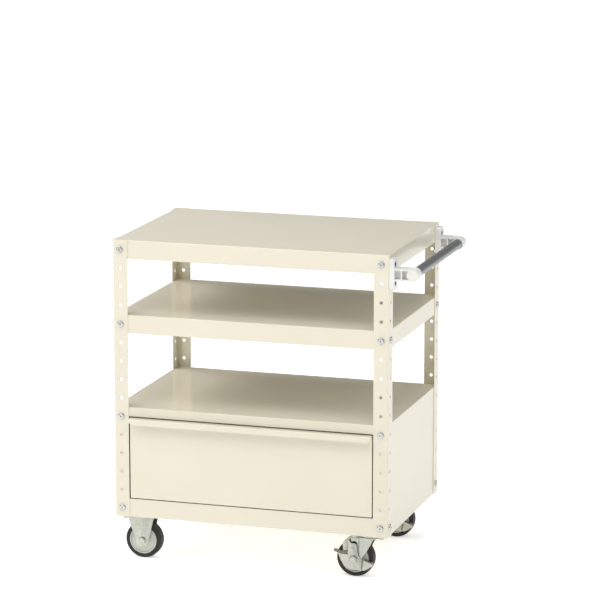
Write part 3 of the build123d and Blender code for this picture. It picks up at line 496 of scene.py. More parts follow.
# The lower corner of each end is cut off on the slant.
for end_x, outwards in ((low.x, -1), (high.x, 1)):
    bpy.ops.mesh.select_all(action="SELECT")
    bpy.ops.mesh.bisect(
        plane_co=(end_x, 0, low.z + pull_end_cut), plane_no=(outwards, 0, -1), clear_outer=True
    )
thicken(pull, pull_sheet)
finish_edges(pull, 0.4 * mm, angle=40)
powder_coat(pull, "drawer", "drawer_pull")

# ------------------------------------------------------------------------------------ drawer slides
# Each slide is three channels rolled from zinc-plated strip. The outer one is screwed to a beam on
# the end panel, the inner one to the drawer, and the middle one runs between them.

# Zinc-plated strip is a cool grey metal with soft blotches where the plating is thicker and fine
# rolling lines along its length, under 0.1 mm apart. They are drawn at 1.2 mm to show at all.
slide_zinc = surface(
    "zinc_plated_rolled_strip", ("#C9CCCE", "#B9BCBD"), broad=(25, 3.0), fine=(1.2, 2.0),
    relief=(0.15, 0.03 * mm), roughness=(0.272, 0.368), constants={"Metallic": 1.0},
    shift=0.6, streaks=True, wear=(0.6 * mm, 0.5, "#F2F3F1"),
)
for side in ("left", "right"):
    for member in ("beam", "outer", "middle", "inner"):
        finish_nodes(slide_zinc, f"{side}_slide_{member}")

# ------------------------------------------------------------------------------------ push handle
# Two moulded nylon brackets are screwed to the end posts. Each is a pad, an arm whose sides are
# cored out round a cross rib, and a boss that grips the 26 mm tube. A moulded plug closes each
# end of the tube, which is enamelled dark grey.
pad_thickness = 12.0 * mm
pad_corner_radius = 8.0 * mm
bracket_half_width = 18.0 * mm
bracket_to_bar_end = 14.0 * mm
arm_height = 31.6 * mm
arm_root = 2.0 * mm
arm_skin = 4.0 * mm
core_depth = 13.5 * mm
core_to_pad = 1.5 * mm
core_to_axis = 11.2 * mm
rib_half = 1.75 * mm
rib_reach = 20.0 * mm
boss_radius = 16.0 * mm
boss_length = 32.0 * mm
counterbore_radius = 7.0 * mm
counterbore_depth = 8.2 * mm
tube_wall = 2.0 * mm


def moulded_plastic(name, colours, roughness):
    """Injection-moulded nylon: an even satin skin with a fine spark-eroded grain from the mould.
    The grain is 0.1 mm, and is drawn at 0.8 mm, as coarse as it needs to be to show."""
    return surface(
        name, colours, broad=(30, 1.0), fine=(0.8, 2.0), relief=(0.2, 0.05 * mm),
        roughness=(roughness * 0.85, roughness * 1.15), constants={"IOR": 1.53},
    )


bracket_nylon = moulded_plastic("light_grey_moulded_nylon", ("#E6E6E3", "#E0E0DE"), 0.38)
cap_nylon = moulded_plastic("white_moulded_nylon", ("#E6E5DD", "#E1E0D8"), 0.42)
# Dark grey stoving enamel with a metallic flake on drawn tube: smooth and satin, dark above and
# bright below where it mirrors the floor. The draw lines along it are hair fine, and are drawn at
# 1 mm to show at all.
bar_enamel = surface(
    "dark_grey_stoving_enamel", ("#858789", "#7E8183"), broad=(40, 2.0), fine=(1.0, 2.0),
    relief=(0.1, 0.02 * mm), roughness=(0.30, 0.38), constants={"Metallic": 0.55, "IOR": 1.5},
    streaks=True,
)
post_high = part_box("front_right_post")[1]
bar_low, bar_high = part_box("handle_bar")
bar_axis = (bar_low + bar_high) / 2
bar_radius = (bar_high.z - bar_low.z) / 2


def handle_bracket(node, side_y):
    """One moulding, with its two counterbored screw holes and the bore for the tube."""
    low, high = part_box(node)
    pad_face_x = post_high.x + pad_thickness
    outer_y = bar_low.y if side_y < 0 else bar_high.y
    centre_y = outer_y - side_y * bracket_to_bar_end
    low_y, high_y = centre_y - bracket_half_width, centre_y + bracket_half_width
    pad = sheet_box(f"{node}_moulding", (post_high.x, low_y, low.z), (pad_face_x, high_y, high.z))
    round_edges(pad, pad_corner_radius, 6, lambda edge: runs_along(edge, 0))
    bpy.ops.object.mode_set(mode="OBJECT")
    arm_low, arm_high = bar_axis.z - arm_height / 2, bar_axis.z + arm_height / 2
    arm = sheet_box("arm", (pad_face_x - arm_root, low_y, arm_low), (bar_axis.x, high_y, arm_high))
    # The cores are sunk into both sides of the arm, one each side of the rib.
    rib_x = pad_face_x + rib_reach
    core_low, core_high = pad_face_x + core_to_pad, bar_axis.x - core_to_axis
    for cut_x in (core_low, rib_x - rib_half, rib_x + rib_half, core_high):
        bpy.ops.mesh.select_all(action="SELECT")
        bpy.ops.mesh.bisect(plane_co=(cut_x, 0, 0), plane_no=(1, 0, 0))
    for cut_z in (arm_low + arm_skin, arm_high - arm_skin):
        bpy.ops.mesh.select_all(action="SELECT")
        bpy.ops.mesh.bisect(plane_co=(0, 0, cut_z), plane_no=(0, 0, 1))

    def in_core(face):
        spot = face.calc_center_median()
        beside_rib = abs(spot.x - rib_x) > rib_half
        between_skins = abs(spot.z - bar_axis.z) < arm_height / 2 - arm_skin
        return core_low < spot.x < core_high and beside_rib and between_skins

    for facing in (-1, 1):
        choose(arm, "FACE", lambda face: in_core(face) and face.normal.y * facing > 0.5)
        extrude((0, -facing * core_depth, 0))
    bpy.ops.object.mode_set(mode="OBJECT")
    combine(pad, arm, "UNION")
    boss_at = (bar_axis.x, outer_y - side_y * boss_length / 2, bar_axis.z)
    combine(pad, cylinder("boss", boss_at, 1, boss_radius, boss_length, 64), "UNION")
    combine(pad, cylinder("bore", boss_at, 1, bar_radius, 2 * boss_length, 64))
    for hole_z in (post_high.z - hole_to_end, post_high.z - hole_to_end - hole_pitch):
        spot = (pad_face_x, centre_y, hole_z)
        combine(
            pad, cylinder("counterbore", spot, 0, counterbore_radius, 2 * counterbore_depth, 32)
        )
        combine(pad, cylinder("screw_hole", spot, 0, hole_radius, 4 * pad_thickness, 24))
    finish_edges(pad, 0.8 * mm, segments=3, angle=40)
    return pad


for side, side_y in (("front", -1), ("rear", 1)):
    node = f"{side}_handle_bracket"
    place(handle_bracket(node, side_y), "frame", "bracket_plastic", bracket_nylon, node)

bar_length = bar_high.y - bar_low.y
bar = cylinder("handle_tube", bar_axis, 1, bar_radius, bar_length, 72)
combine(bar, cylinder("bore", bar_axis, 1, bar_radius - tube_wall, 2 * bar_length, 72))
finish_edges(bar, 0.3 * mm)
place(bar, "frame", "bar_coat", bar_enamel, "handle_bar")

cap_thickness = 3.0 * mm
cap_radius = 15.0 * mm
cap_rounding = 1.4 * mm
plug_radius = 10.95 * mm
plug_length = 12.0 * mm


def joined(name, members):
    """Several objects made one."""
    bpy.ops.object.select_all(action="DESELECT")
    for member in members:
        member.select_set(True)
    bpy.context.view_layer.objects.active = members[0]
    bpy.ops.object.join()
    members[0].name = members[0].data.name = name
    bpy.ops.object.select_all(action="DESELECT")
    return members[0]


caps = []
for side_y, end_y in ((-1, bar_low.y), (1, bar_high.y)):
    disc_at = (bar_axis.x, end_y + side_y * cap_thickness / 2, bar_axis.z)
    cap = cylinder("cap", disc_at, 1, cap_radius, cap_thickness, 64)
    bpy.ops.object.mode_set(mode="EDIT")
    choose(cap, "FACE", lambda face: face.normal.y * side_y > 0.9)
    bpy.ops.mesh.bevel(offset=cap_rounding, segments=4, affect="EDGES")
    choose(cap, "FACE", lambda face: face.normal.y * side_y < -0.9)
    bpy.ops.mesh.inset(thickness=cap_radius - plug_radius)
    extrude((0, -side_y * plug_length, 0))
    bpy.ops.object.mode_set(mode="OBJECT")
    caps.append(cap)
plugs = joined("handle_tube_plugs", caps)
smooth(plugs)
place(plugs, "frame", "cap_plastic", cap_nylon, "handle_bar_caps")

# ------------------------------------------------------------------------------------ fasteners
# The posts are held by zinc-plated truss-head bolts with a cross recess and by plain hexagon nuts
# behind. Black socket-head screws hold the handle brackets.
bolt_head_radius = 9.0 * mm
bolt_head_height = 4.0 * mm
bolt_radius = 4.0 * mm
bolt_length = 13.0 * mm
cross_length = 8.6 * mm
cross_width = 2.0 * mm
cross_depth = 2.2 * mm
cross_taper = 0.6
head_rounding = 3.3 * mm
bolts_at = {"front": (0, 4, 9, 14), "rear": (0, 4, 9, 14), "left": (0, 4, 14), "right": (4, 14)}
facing_turns = {
    "front": (pi / 2, 0),
    "rear": (-pi / 2, 0),
    "left": (0, -pi / 2),
    "right": (0, pi / 2),
}


def plated_metal(name, colours, roughness):
    """Zinc or oxide over turned or pressed steel: an even metal, a touch cloudy where the bath left
    more of it. In dark grey it also paints the pedal's shade. The clouds are about 6 mm across."""
    return surface(
        name, colours, broad=(6, 3.0), fine=(6, 3.0), relief=(0.15, 0.1 * mm),
        roughness=(roughness * 0.8, roughness * 1.2), constants={"Metallic": 1.0},
    )


bolt_zinc = plated_metal("bright_zinc_plated_bolt", ("#C9CAC8", "#AEB0B0"), 0.16)
black_oxide = plated_metal("black_oxide_steel", ("#3A3A3B", "#2E2E2F"), 0.35)


def copy_to(piece, spot, turn=(0, 0, 0)):
    """A copy of a piece made at the origin, with its own mesh, turned and moved to a spot."""
    other = piece.copy()
    other.data = piece.data.copy()
    bpy.context.scene.collection.objects.link(other)
    turn_x, turn_y, turn_z = (Matrix.Rotation(angle, 4, axis) for angle, axis in zip(turn, "XYZ"))
    other.data.transform(Matrix.Translation(spot) @ turn_y @ turn_x @ turn_z)
    return other


def discard(*models):
    """Deletes models that were only made to be copied."""
    for model in models:
        bpy.data.meshes.remove(model.data)


def truss_bolt():
    """A bolt along Z, with the underside of its head at the origin."""
    head_at = (0, 0, bolt_head_height / 2)
    bolt = cylinder("truss_bolt", head_at, 2, bolt_head_radius, bolt_head_height, 40)
    bpy.ops.object.mode_set(mode="EDIT")
    choose(bolt, "FACE", lambda face: face.normal.z > 0.9)
    bpy.ops.mesh.bevel(offset=head_rounding, segments=6, affect="EDGES", profile=0.55)
    choose(bolt, "FACE", lambda face: face.normal.z < -0.9)
    bpy.ops.mesh.inset(thickness=bolt_head_radius - bolt_radius)
    extrude((0, 0, -bolt_length))
    bpy.ops.object.mode_set(mode="OBJECT")
    for across, along in ((cross_length, cross_width), (cross_width, cross_length)):
        slot = sheet_box(
            "slot",
            (-across / 2, -along / 2, bolt_head_height - cross_depth),
            (across / 2, along / 2, bolt_head_height + cross_depth),
        )
        # The recess tapers, as a cross-point driver does.
        choose(slot, "FACE", lambda face: face.normal.z < -0.5)
        bpy.ops.transform.resize(value=(cross_taper, cross_taper, 1), center_override=(0, 0, 0))
        bpy.ops.object.mode_set(mode="OBJECT")
        combine(bolt, slot)
    smooth(bolt, 30)
    return bolt


bolt = truss_bolt()
bolts = []
for corner, (side_x, side_y) in corners.items():
    facings = ("front" if side_y < 0 else "rear", "left" if side_x < 0 else "right")
    for facing, (x, y, z) in zip(facings, top_holes(corner)):
        for index in bolts_at[facing]:
            # Each bolt was tightened by hand, so its cross points its own way.
            twist = radians(37 * len(bolts) % 90)
            spot = (x, y, z - index * hole_pitch)
            bolts.append(copy_to(bolt, spot, (*facing_turns[facing], twist)))
discard(bolt)
place(joined("frame_truss_bolts", bolts), "frame", "bright_zinc", bolt_zinc, "frame_bolts")
finish_nodes(bolt_zinc, "frame_nuts", "caster_nuts", "drawer_screws")
finish_nodes(black_oxide, "bracket_screws")

# ------------------------------------------------------------------------------------ wheels
# Each wheel is a moulded rubber ring on a light grey nylon centre: a dished disc with a hub in the
# middle and a band round it that stands a little proud of the rubber.
tyre_shoulder = 5.0 * mm
hub_radius = 13.0 * mm
rim_proud = 1.5 * mm
rim_lip = 2.3 * mm
rim_dish = 4.0 * mm
rim_step = 0.8 * mm
rim_slope = 0.4 * mm
rim_ledge = 3.0 * mm
hub_slope = 4.0 * mm
seam_width, seam_depth = 1.2 * mm, 0.6 * mm
wheel_bore_radius = 5.1 * mm

# Moulded rubber is a dull, slightly uneven black that goes grey where light skims it. Its grain is
# 0.2 mm, and is drawn at 1 mm, as coarse as it needs to be to show.
wheel_rubber = surface(
    "moulded_black_rubber", ("#272726", "#1F1F1F"), broad=(18, 2.0), fine=(1.0, 3.0),
    relief=(0.3, 0.1 * mm), roughness=(0.55, 0.7), constants={"IOR": 1.5},
)
wheel_grey = moulded_plastic("light_grey_wheel_centre", ("#CFD0C7", "#C6C8BE"), 0.4)


def turn_caps(wheel, *steps):
    """Works both side faces of a wheel towards the middle, as on a lathe, in rings that are each
    so wide and rise so far outwards."""
    for width, rise in steps:
        for facing in (-1, 1):
            choose(wheel, "FACE", lambda face: face.normal.y * facing > 0.9 and len(face.verts) > 8)
            bpy.ops.mesh.inset(thickness=width, depth=rise)


def fit_at_axle(model, corner, name, body, slot, material, node):
    """Places a copy of a model drawn about the axle at one corner's axle."""
    low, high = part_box(f"{corner}_tyre")
    piece = copy_to(model, (low + high) / 2)
    piece.name = piece.data.name = f"{corner}_{name}"
    place(piece, body, slot, material, f"{corner}_{node}")


low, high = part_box("front_left_tyre")
rim_low, rim_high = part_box("front_left_rim")
wheel_radius = (high.z - low.z) / 2
wheel_width = high.y - low.y
axle_z = (low.z + high.z) / 2
rim_radius = (rim_high.z - rim_low.z) / 2
tyre = cylinder("tyre", (0, 0, 0), 1, wheel_radius, wheel_width, 96)
bpy.ops.object.mode_set(mode="EDIT")
choose(tyre, "FACE", lambda face: len(face.verts) > 8)
bpy.ops.mesh.bevel(offset=tyre_shoulder, segments=6, affect="EDGES")
turn_caps(tyre, (seam_width, 0), (seam_depth, -seam_depth))
turn_caps(tyre, (wheel_radius - tyre_shoulder - seam_width - seam_depth - rim_radius, 0))
choose(tyre, "FACE", lambda face: len(face.verts) > 8)
bpy.ops.mesh.bridge_edge_loops()
bpy.ops.object.mode_set(mode="OBJECT")
smooth(tyre, 40)

half_band = wheel_width / 2 + rim_proud
hub_rise = (rim_high.y - rim_low.y) / 2 - half_band + rim_dish
disc_width = rim_radius - rim_lip - rim_slope - rim_ledge - rim_step - hub_slope - hub_radius
rim = cylinder("rim", (0, 0, 0), 1, rim_radius, 2 * half_band, 96)
bpy.ops.object.mode_set(mode="EDIT")
turn_caps(rim, (rim_lip, 0), (rim_slope, -rim_dish), (rim_ledge, 0))
# A shallow moulded step runs round the disc, and the hub stands on a short cone.
turn_caps(rim, (rim_step, rim_step), (disc_width, 0), (hub_slope, hub_rise - rim_step))
bpy.ops.object.mode_set(mode="OBJECT")
combine(rim, cylinder("bore", (0, 0, 0), 1, wheel_bore_radius, 2 * wheel_width, 32))
finish_edges(rim, 0.4 * mm, angle=28)
for corner in corners:
    fit_at_axle(tyre, corner, "rubber_tyre", f"{corner}_wheel", "tyre", wheel_rubber, "tyre")
    fit_at_axle(rim, corner, "wheel_centre", f"{corner}_wheel", "wheel_centre", wheel_grey, "rim")
discard(tyre, rim)

# ------------------------------------------------------------------------------------ rigid casters
# The left-hand casters are rigid: a square plate with two tapered legs under it, pressed from 3 mm
# steel and zinc plated. Each leg's edges are folded back for stiffness.
fork_sheet = 3.0 * mm
fork_gap = 42.0 * mm
leg_y = -(fork_gap + fork_sheet) / 2
plate_size = 92.0 * mm
plate_hole_spacing = 72.0 * mm
plate_corner_radius = 8.0 * mm
rigid_trail = 5.5 * mm
rigid_leg_top = 78.0 * mm
rigid_leg_end = 17.0 * mm
rigid_fold_left, rigid_fold_right = -15.0 * mm, 12.0 * mm
wing_turn = 7
fork_bore_radius = 5.2 * mm
shank_radius = 4.9 * mm
shank_in_head, shank_past_grip = 3.0 * mm, 8.4 * mm
washer_radius, washer_thickness = 10.5 * mm, 1.5 * mm
hexagon_radius, hexagon_height = 9.8 * mm, 4.5 * mm
cone_radius, cone_cut = 10.2 * mm, 1.5 * mm
caster_zinc = plated_metal("satin_zinc_plated_pressing", ("#BEBFB5", "#B2B4AA"), 0.42)


def arc(radius, start, end, steps):
    """Points round the axle, from one angle to another in degrees, counted from +X towards +Z."""
    angles = [radians(start + (end - start) * step / steps) for step in range(steps + 1)]
    return [(radius * cos(angle), radius * sin(angle)) for angle in angles]


def blank(name, outline, y):
    """A flat sheet across Y, cut to an outline of (x, z) points about the axle, in edit mode."""
    bpy.ops.mesh.primitive_circle_add(vertices=len(outline), fill_type="NGON")
    piece = bpy.context.object
    piece.name = piece.data.name = name
    for vertex, (x, z) in zip(piece.data.vertices, outline):
        vertex.co = (x, y, z)
    bpy.ops.object.mode_set(mode="EDIT")
    return piece


def crease(piece, x):
    """Marks an upright fold line on a sheet."""
    bpy.ops.mesh.select_mode(type="FACE")
    bpy.ops.mesh.select_all(action="SELECT")
    bpy.ops.mesh.bisect(plane_co=(x, 0, 0), plane_no=(1, 0, 0))


def fold(piece, hinge_x, y, turn, rule):
    """Swings part of a sheet about an upright fold line, by so many degrees, as a press does."""
    choose(piece, "VERT", rule)
    bpy.ops.transform.rotate(
        value=radians(turn), orient_axis="Z", orient_type="GLOBAL", center_override=(hinge_x, y, 0)
    )


def press(piece, thickness, edge, angle=25):
    """Gives a folded sheet its thickness, half to each side, and rounds its bends and edges."""
    bpy.ops.mesh.select_mode(type="FACE")
    face_outwards()
    bpy.ops.object.mode_set(mode="OBJECT")
    modify(piece, "SOLIDIFY", thickness=thickness, offset=0, use_even_offset=True)
    finish_edges(piece, edge, segments=3, angle=angle)


def other_hand(piece, name):
    """A mirror image of a piece, across the wheel."""
    twin = copy_to(piece, (0, 0, 0))
    twin.name = twin.data.name = name
    twin.data.transform(Matrix.Scale(-1, 4, (0, 1, 0)))
    twin.data.flip_normals()
    return twin


def caster_plate(centre_x, top_z):
    """The square plate that bolts under the floor, with rounded corners and four holes."""
    half = plate_size / 2
    low = (centre_x - half, -half, top_z - fork_sheet)
    plate = sheet_box("plate", low, (centre_x + half, half, top_z))
    round_edges(plate, plate_corner_radius, 6, lambda edge: runs_along(edge, 2))
    bpy.ops.object.mode_set(mode="OBJECT")
    to_hole = plate_hole_spacing / 2
    for side_x in (-1, 1):
        for side_y in (-1, 1):
            spot = (centre_x + side_x * to_hole, side_y * to_hole, top_z)
            combine(plate, cylinder("drill", spot, 2, hole_radius, 2 * drill_length))
    finish_edges(plate, 0.5 * mm)
    return plate


def bore_plate(plate, y):
    """Drills a plate for the axle."""
    combine(plate, cylinder("bore", (0, y, 0), 1, fork_bore_radius, 2 * drill_length, 32))


def rigid_fork(top_z):
    """The plate and its two legs, drawn about the axle."""
    leg_top = top_z - fork_sheet
    left, right = -rigid_trail - rigid_leg_top / 2, -rigid_trail + rigid_leg_top / 2
    left_angle = degrees(atan2(leg_top, left) + acos(rigid_leg_end / hypot(left, leg_top)))
    right_angle = degrees(atan2(leg_top, right) - acos(rigid_leg_end / hypot(right, leg_top)))
    outline = [(right, leg_top), (left, leg_top)]
    outline += arc(rigid_leg_end, left_angle, 360 + right_angle, 18)
    leg = blank("leg", outline, leg_y)
    for x in (rigid_fold_left, rigid_fold_right):
        crease(leg, x)
    fold(
        leg, rigid_fold_left, leg_y, wing_turn,
        lambda vertex: vertex.co.x < rigid_fold_left - nearly,
    )
    fold(
        leg, rigid_fold_right, leg_y, -wing_turn,
        lambda vertex: vertex.co.x > rigid_fold_right + nearly,
    )
    press(leg, fork_sheet, edge=0.9 * mm, angle=8)
    bore_plate(leg, leg_y)
    far_leg = other_hand(leg, "far_leg")
    return joined("rigid_fork", [leg, far_leg, caster_plate(-rigid_trail, top_z)])


def axle_bolt(grip):
    """A hexagon bolt through the wheel with two washers and a nut, drawn about the axle."""
    shank_y = (shank_past_grip - shank_in_head) / 2
    shank_length = grip + shank_past_grip + shank_in_head
    parts = [cylinder("shank", (0, shank_y, 0), 1, shank_radius, shank_length, 32)]
    for facing in (-1, 1):
        washer_y = facing * (grip / 2 + washer_thickness / 2)
        washer = cylinder("washer", (0, washer_y, 0), 1, washer_radius, washer_thickness, 48)
        finish_edges(washer, 0.3 * mm)
        head_y = facing * (grip / 2 + washer_thickness + hexagon_height / 2)
        head = cylinder("head", (0, head_y, 0), 1, hexagon_radius, hexagon_height, 6)
        # The outer corners are turned off to a cone.
        cone = cylinder("cone", (0, head_y, 0), 1, cone_radius, hexagon_height, 48)
        bpy.ops.object.mode_set(mode="EDIT")
        choose(cone, "FACE", lambda face: face.normal.y * facing > 0.9)
        bpy.ops.mesh.bevel(offset=cone_cut, segments=1, affect="EDGES")
        bpy.ops.object.mode_set(mode="OBJECT")
        combine(head, cone, "INTERSECT")
        finish_edges(head, 0.3 * mm, angle=20)
        parts += [washer, head]
    return joined("axle_bolt", parts)


fork = rigid_fork(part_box("front_left_fork")[1].z - axle_z)
axle = axle_bolt(fork_gap + 2 * fork_sheet)
for corner in ("front_left", "rear_left"):
    fit_at_axle(fork, corner, "pressed_fork", "frame", "caster_steel", caster_zinc, "fork")
    fit_at_axle(axle, corner, "axle_bolt", "frame", "caster_steel", caster_zinc, "axle")
discard(fork, axle)

# ------------------------------------------------------------------------------------ swivel casters
# The right-hand casters swivel. Each fork hangs from a kingpin, and both legs trail back to the
# axle, their outer part pressed proud and their free edge folded in behind it.
swivel_trail = 41.5 * mm
crown_z = 60.0 * mm
crown_back, crown_free = -9.0 * mm, 52.0 * mm
heel = (23.0 * mm, 8.0 * mm)
swivel_leg_end = 19.0 * mm
step_x = 14.0 * mm
step_run = 1.6 * mm
step_rise = 1.2 * mm
flange_depth = 6.0 * mm
swivel_grip = 56.6 * mm
groove_width, groove_depth = 2.4 * mm, 0.8 * mm
groove_foot_z = 12.0 * mm
groove_to_crown = 5.0 * mm
seat_radius = 28.0 * mm
kingpin_bore_radius = 6.1 * mm


def in_mm(*points):
    """Points given in millimetres, turned to metres."""
    return [(x * mm, z * mm) for x, z in points]


def flange(piece, shift, rule):
    """In edit mode, turns a flange off the edges that a rule picks."""
    choose(piece, "EDGE", rule)
    bpy.ops.mesh.extrude_edges_move(TRANSFORM_OT_translate={"value": shift})


def swivel_fork():
    """The fork's two legs and the crown that joins them, drawn about the axle."""
    outline = [(crown_free, crown_z), (crown_back, crown_z)]
    outline += in_mm((-9, 49.5), (-6, 46), (-1.5, 48.5), (4.5, 48), (8.5, 44), (-14, 12.8))
    outline += arc(swivel_leg_end, 150, 335, 16) + [heel] + in_mm((33, 22.5))
    leg = blank("leg", outline, leg_y)
    crease(leg, step_x)
    crease(leg, step_x + step_run)
    choose(leg, "VERT", lambda vertex: vertex.co.x > step_x + step_run - nearly)
    bpy.ops.transform.translate(value=(0, -step_rise, 0))
    flange(
        leg, (0, flange_depth, 0),
        lambda edge: middle(edge).x > 1.01 * heel[0] and middle(edge).z < 0.98 * crown_z,
    )
    press(leg, fork_sheet, edge=1.0 * mm)
    bore_plate(leg, leg_y)
    # A relief groove runs up beside the step.
    groove = sheet_box(
        "groove",
        (step_x - groove_width, leg_y - cut_margin, groove_foot_z),
        (step_x, leg_y + groove_depth, crown_z - groove_to_crown),
    )
    bpy.ops.object.mode_set(mode="OBJECT")
    combine(leg, groove)
    edge_y = fork_gap / 2 + fork_sheet
    crown_low = (crown_back, -edge_y, crown_z - fork_sheet)
    crown = sheet_box("crown", crown_low, (crown_free, edge_y, crown_z))
    bpy.ops.object.mode_set(mode="OBJECT")
    seat_at = (swivel_trail, 0, crown_z - fork_sheet / 2)
    seat = cylinder("seat", seat_at, 2, seat_radius, fork_sheet, 64)
    combine(crown, seat, "UNION")
    bore_at = (swivel_trail, 0, crown_z)
    combine(crown, cylinder("bore", bore_at, 2, kingpin_bore_radius, 2 * drill_length, 32))
    finish_edges(crown, 0.8 * mm)
    return joined("swivel_fork", [leg, other_hand(leg, "far_leg"), crown])


fork = swivel_fork()
axle = axle_bolt(swivel_grip)
for corner in ("front_right", "rear_right"):
    body = f"{corner}_caster"
    fit_at_axle(fork, corner, "pressed_fork", body, "caster_steel", caster_zinc, "fork")
    fit_at_axle(axle, corner, "axle_bolt", body, "caster_steel", caster_zinc, "axle")
    for part in ("caster_plate", "swivel_race", "kingpin"):
        finish_nodes(caster_zinc, f"{corner}_{part}")
discard(fork, axle)
finish_nodes(caster_zinc, "caster_bolts")

# ------------------------------------------------------------------------------------ brake levers
# A pressed lever rocks on each right-hand axle: two plates outside the fork, joined over the tread.
# The outer plate has the long tail that lifts the brake off, and a pedal is riveted along it, drawn
# dark grey as painted shade from the cabinet above.
lever_sheet = 2.5 * mm
lever_y = -26.75 * mm
lever_outside = 28.0 * mm
fender_inside, fender_outside = 51.0 * mm, 53.5 * mm
fender_from, fender_to = 103.5, 124.5
pedal_root = -50.3 * mm
pedal_tip = -54.5 * mm
pedal_rise = 18.5 * mm
pedal_outside = 30.0 * mm
pedal_tab_depth, pedal_tab_height = 15.0 * mm, 3.5 * mm
pedal_rounding = 4.5 * mm
pad_rise = 0.8 * mm
pad_ring_radius = 11.2 * mm
tail_fold_x, tail_fold_turn = 24.0 * mm, 2
tail_flange_x = 29.0 * mm
tail_flange_shift = (0, 9.0 * mm, 2.0 * mm)
tail_top_z, tail_slope = -6.5 * mm, 1.5 * mm
cheek_y = -18.6 * mm
cheek_lap = 7.0 * mm
cheek_step = 5.0 * mm
cheek_roll = 3.5 * mm
cheek_edge_x = -28.0 * mm
# The pedal is drawn in a dark, dull grey metal, which is painted shade for the shadow the cabinet
# casts on it. It is a little darker in broad patches.
pedal_painted_shade = plated_metal("dark_grey_painted_shade_steel", ("#7D7E77", "#6E6F69"), 0.5)


def bar_across(name, outline, low_y, high_y, edge=0.6 * mm):
    """A solid bar across the wheel, from an outline of (x, z) points about the axle."""
    bar = blank(name, outline, low_y)
    bpy.ops.mesh.select_all(action="SELECT")
    extrude((0, high_y - low_y, 0))
    face_outwards()
    bpy.ops.object.mode_set(mode="OBJECT")
    finish_edges(bar, edge, segments=3, angle=25)
    return bar


def brake_lever():
    """The two plates and the bridge between them, drawn about the axle."""
    bridge = arc(fender_outside, fender_from, fender_to, 6)
    bridge += arc(fender_inside, fender_to, fender_from, 6)
    parts = [bar_across("bridge", bridge, -lever_outside + lever_sheet, lever_outside)]

    # The outer plate. Its tail is folded out a little, with a stiffening flange turned in on top.
    outline = in_mm(
        (8.8, 40), (6, 43), (1, 44.5), (-4, 43.5), (-8, 45), (-12.5, 51.5), (-15.5, 50),
        (-15.5, 20), (-50, 21), (-50, 18.5), (-42, 12), (-37, 0), (-33, -8), (-27, -17),
        (-18, -25), (-7, -28.5), (29, -28.5), (39, -24), (45, -18.5), (51, -16.5),
        (53, -11.2), (24, 0), (14, 10), (10.5, 20),
    )
    plate = blank("outer_plate", outline, lever_y)
    crease(plate, tail_fold_x)
    crease(plate, tail_flange_x)
    flange(
        plate, tail_flange_shift,
        lambda edge: middle(edge).x > tail_flange_x + 1 * mm
        and abs(middle(edge).z - tail_top_z) < tail_slope,
    )
    fold(
        plate, tail_fold_x, lever_y, tail_fold_turn,
        lambda vertex: vertex.co.x > tail_fold_x + nearly,
    )
    press(plate, lever_sheet, edge=0.7 * mm)
    slot = in_mm((22.3, 1.5), (25.2, 1.5), (23.6, -26), (20.7, -26))
    combine(plate, bar_across("slot", slot, lever_y - cut_margin, lever_y + cut_margin))
    bore_plate(plate, lever_y)
    parts.append(plate)

    # A raised pad is coined on the outer plate, round the axle.
    outline = in_mm(
        (1.5, 31), (-15.3, 31), (-15.3, 20), (-30, 17), (-38, 10), (-35, 0), (-31, -8),
        (-23, -17.5), (4.5, -17.5), (6, -26), (19, -26), (20.5, 0), (14, 5), (3, 20),
    )
    pad = bar_across("pad", outline, -lever_outside - pad_rise, -lever_outside + 1 * mm)
    combine(pad, cylinder("ring", (0, -lever_outside, 0), 1, pad_ring_radius, drill_length, 48))
    parts.append(pad)

    # Behind the pedal the plate steps in towards the wheel, and its edge is rolled over.
    cheek = blank("cheek", in_mm((-15, 50), (-30, 43.5), (-28.6, 20), (-15, 20)), cheek_y)
    flange(cheek, (0, -cheek_lap, 0), lambda edge: middle(edge).x > -15 * mm - nearly)
    choose(cheek, "VERT", lambda vertex: vertex.co.x < cheek_edge_x)
    bpy.ops.transform.translate(value=(0, -cheek_step, 0))
    flange(cheek, (0, cheek_roll, 0), lambda edge: middle(edge).x < cheek_edge_x)
    press(cheek, lever_sheet, edge=1.1 * mm)
    parts.append(cheek)

    outline = in_mm(
        (9, 20), (9, 40), (-9, 41), (-12.5, 51.5), (-30, 44), (-30, 18.5), (-37, 0), (-27, -19),
        (6, -19), (25, 0),
    )
    far = bar_across("inner_plate", outline, lever_outside - lever_sheet, lever_outside)
    bore_plate(far, lever_outside)
    parts.append(far)
    return joined("brake_lever", parts)


def brake_pedal():
    """The foot pedal: a strip along the lever's outer plate, with a tab turned in at its tip."""
    tab_high = (pedal_root, -pedal_outside + pedal_tab_depth, pedal_rise + pedal_tab_height)
    tab = sheet_box("tab", (pedal_tip, -pedal_outside, pedal_rise), tab_high)
    round_edges(
        tab, pedal_rounding, 6,
        lambda edge: runs_along(edge, 2) and middle(edge).x < pedal_root - 1 * mm,
    )
    bpy.ops.object.mode_set(mode="OBJECT")
    finish_edges(tab, 0.6 * mm, segments=3)
    outline = in_mm(
        (-50.3, 18), (-30, 12.5), (-15, 12.5), (-15, 17), (-40, 24.5), (-47, 27), (-51.5, 26.5),
        (-54, 23.5), (-54, 20),
    )
    strip = bar_across("strip", outline, -pedal_outside, -lever_outside, 0.7 * mm)
    return joined("brake_pedal", [tab, strip])


lever = brake_lever()
pedal = brake_pedal()
for corner in ("front_right", "rear_right"):
    body = f"{corner}_brake"
    fit_at_axle(lever, corner, "rocking_lever", body, "caster_steel", caster_zinc, "brake_lever")
    # The pedal's dark grey is painted shade, not a finish of its own.
    fit_at_axle(pedal, corner, "foot_pedal", body, "pedal_steel", pedal_painted_shade, "brake_pedal")
discard(lever, pedal)

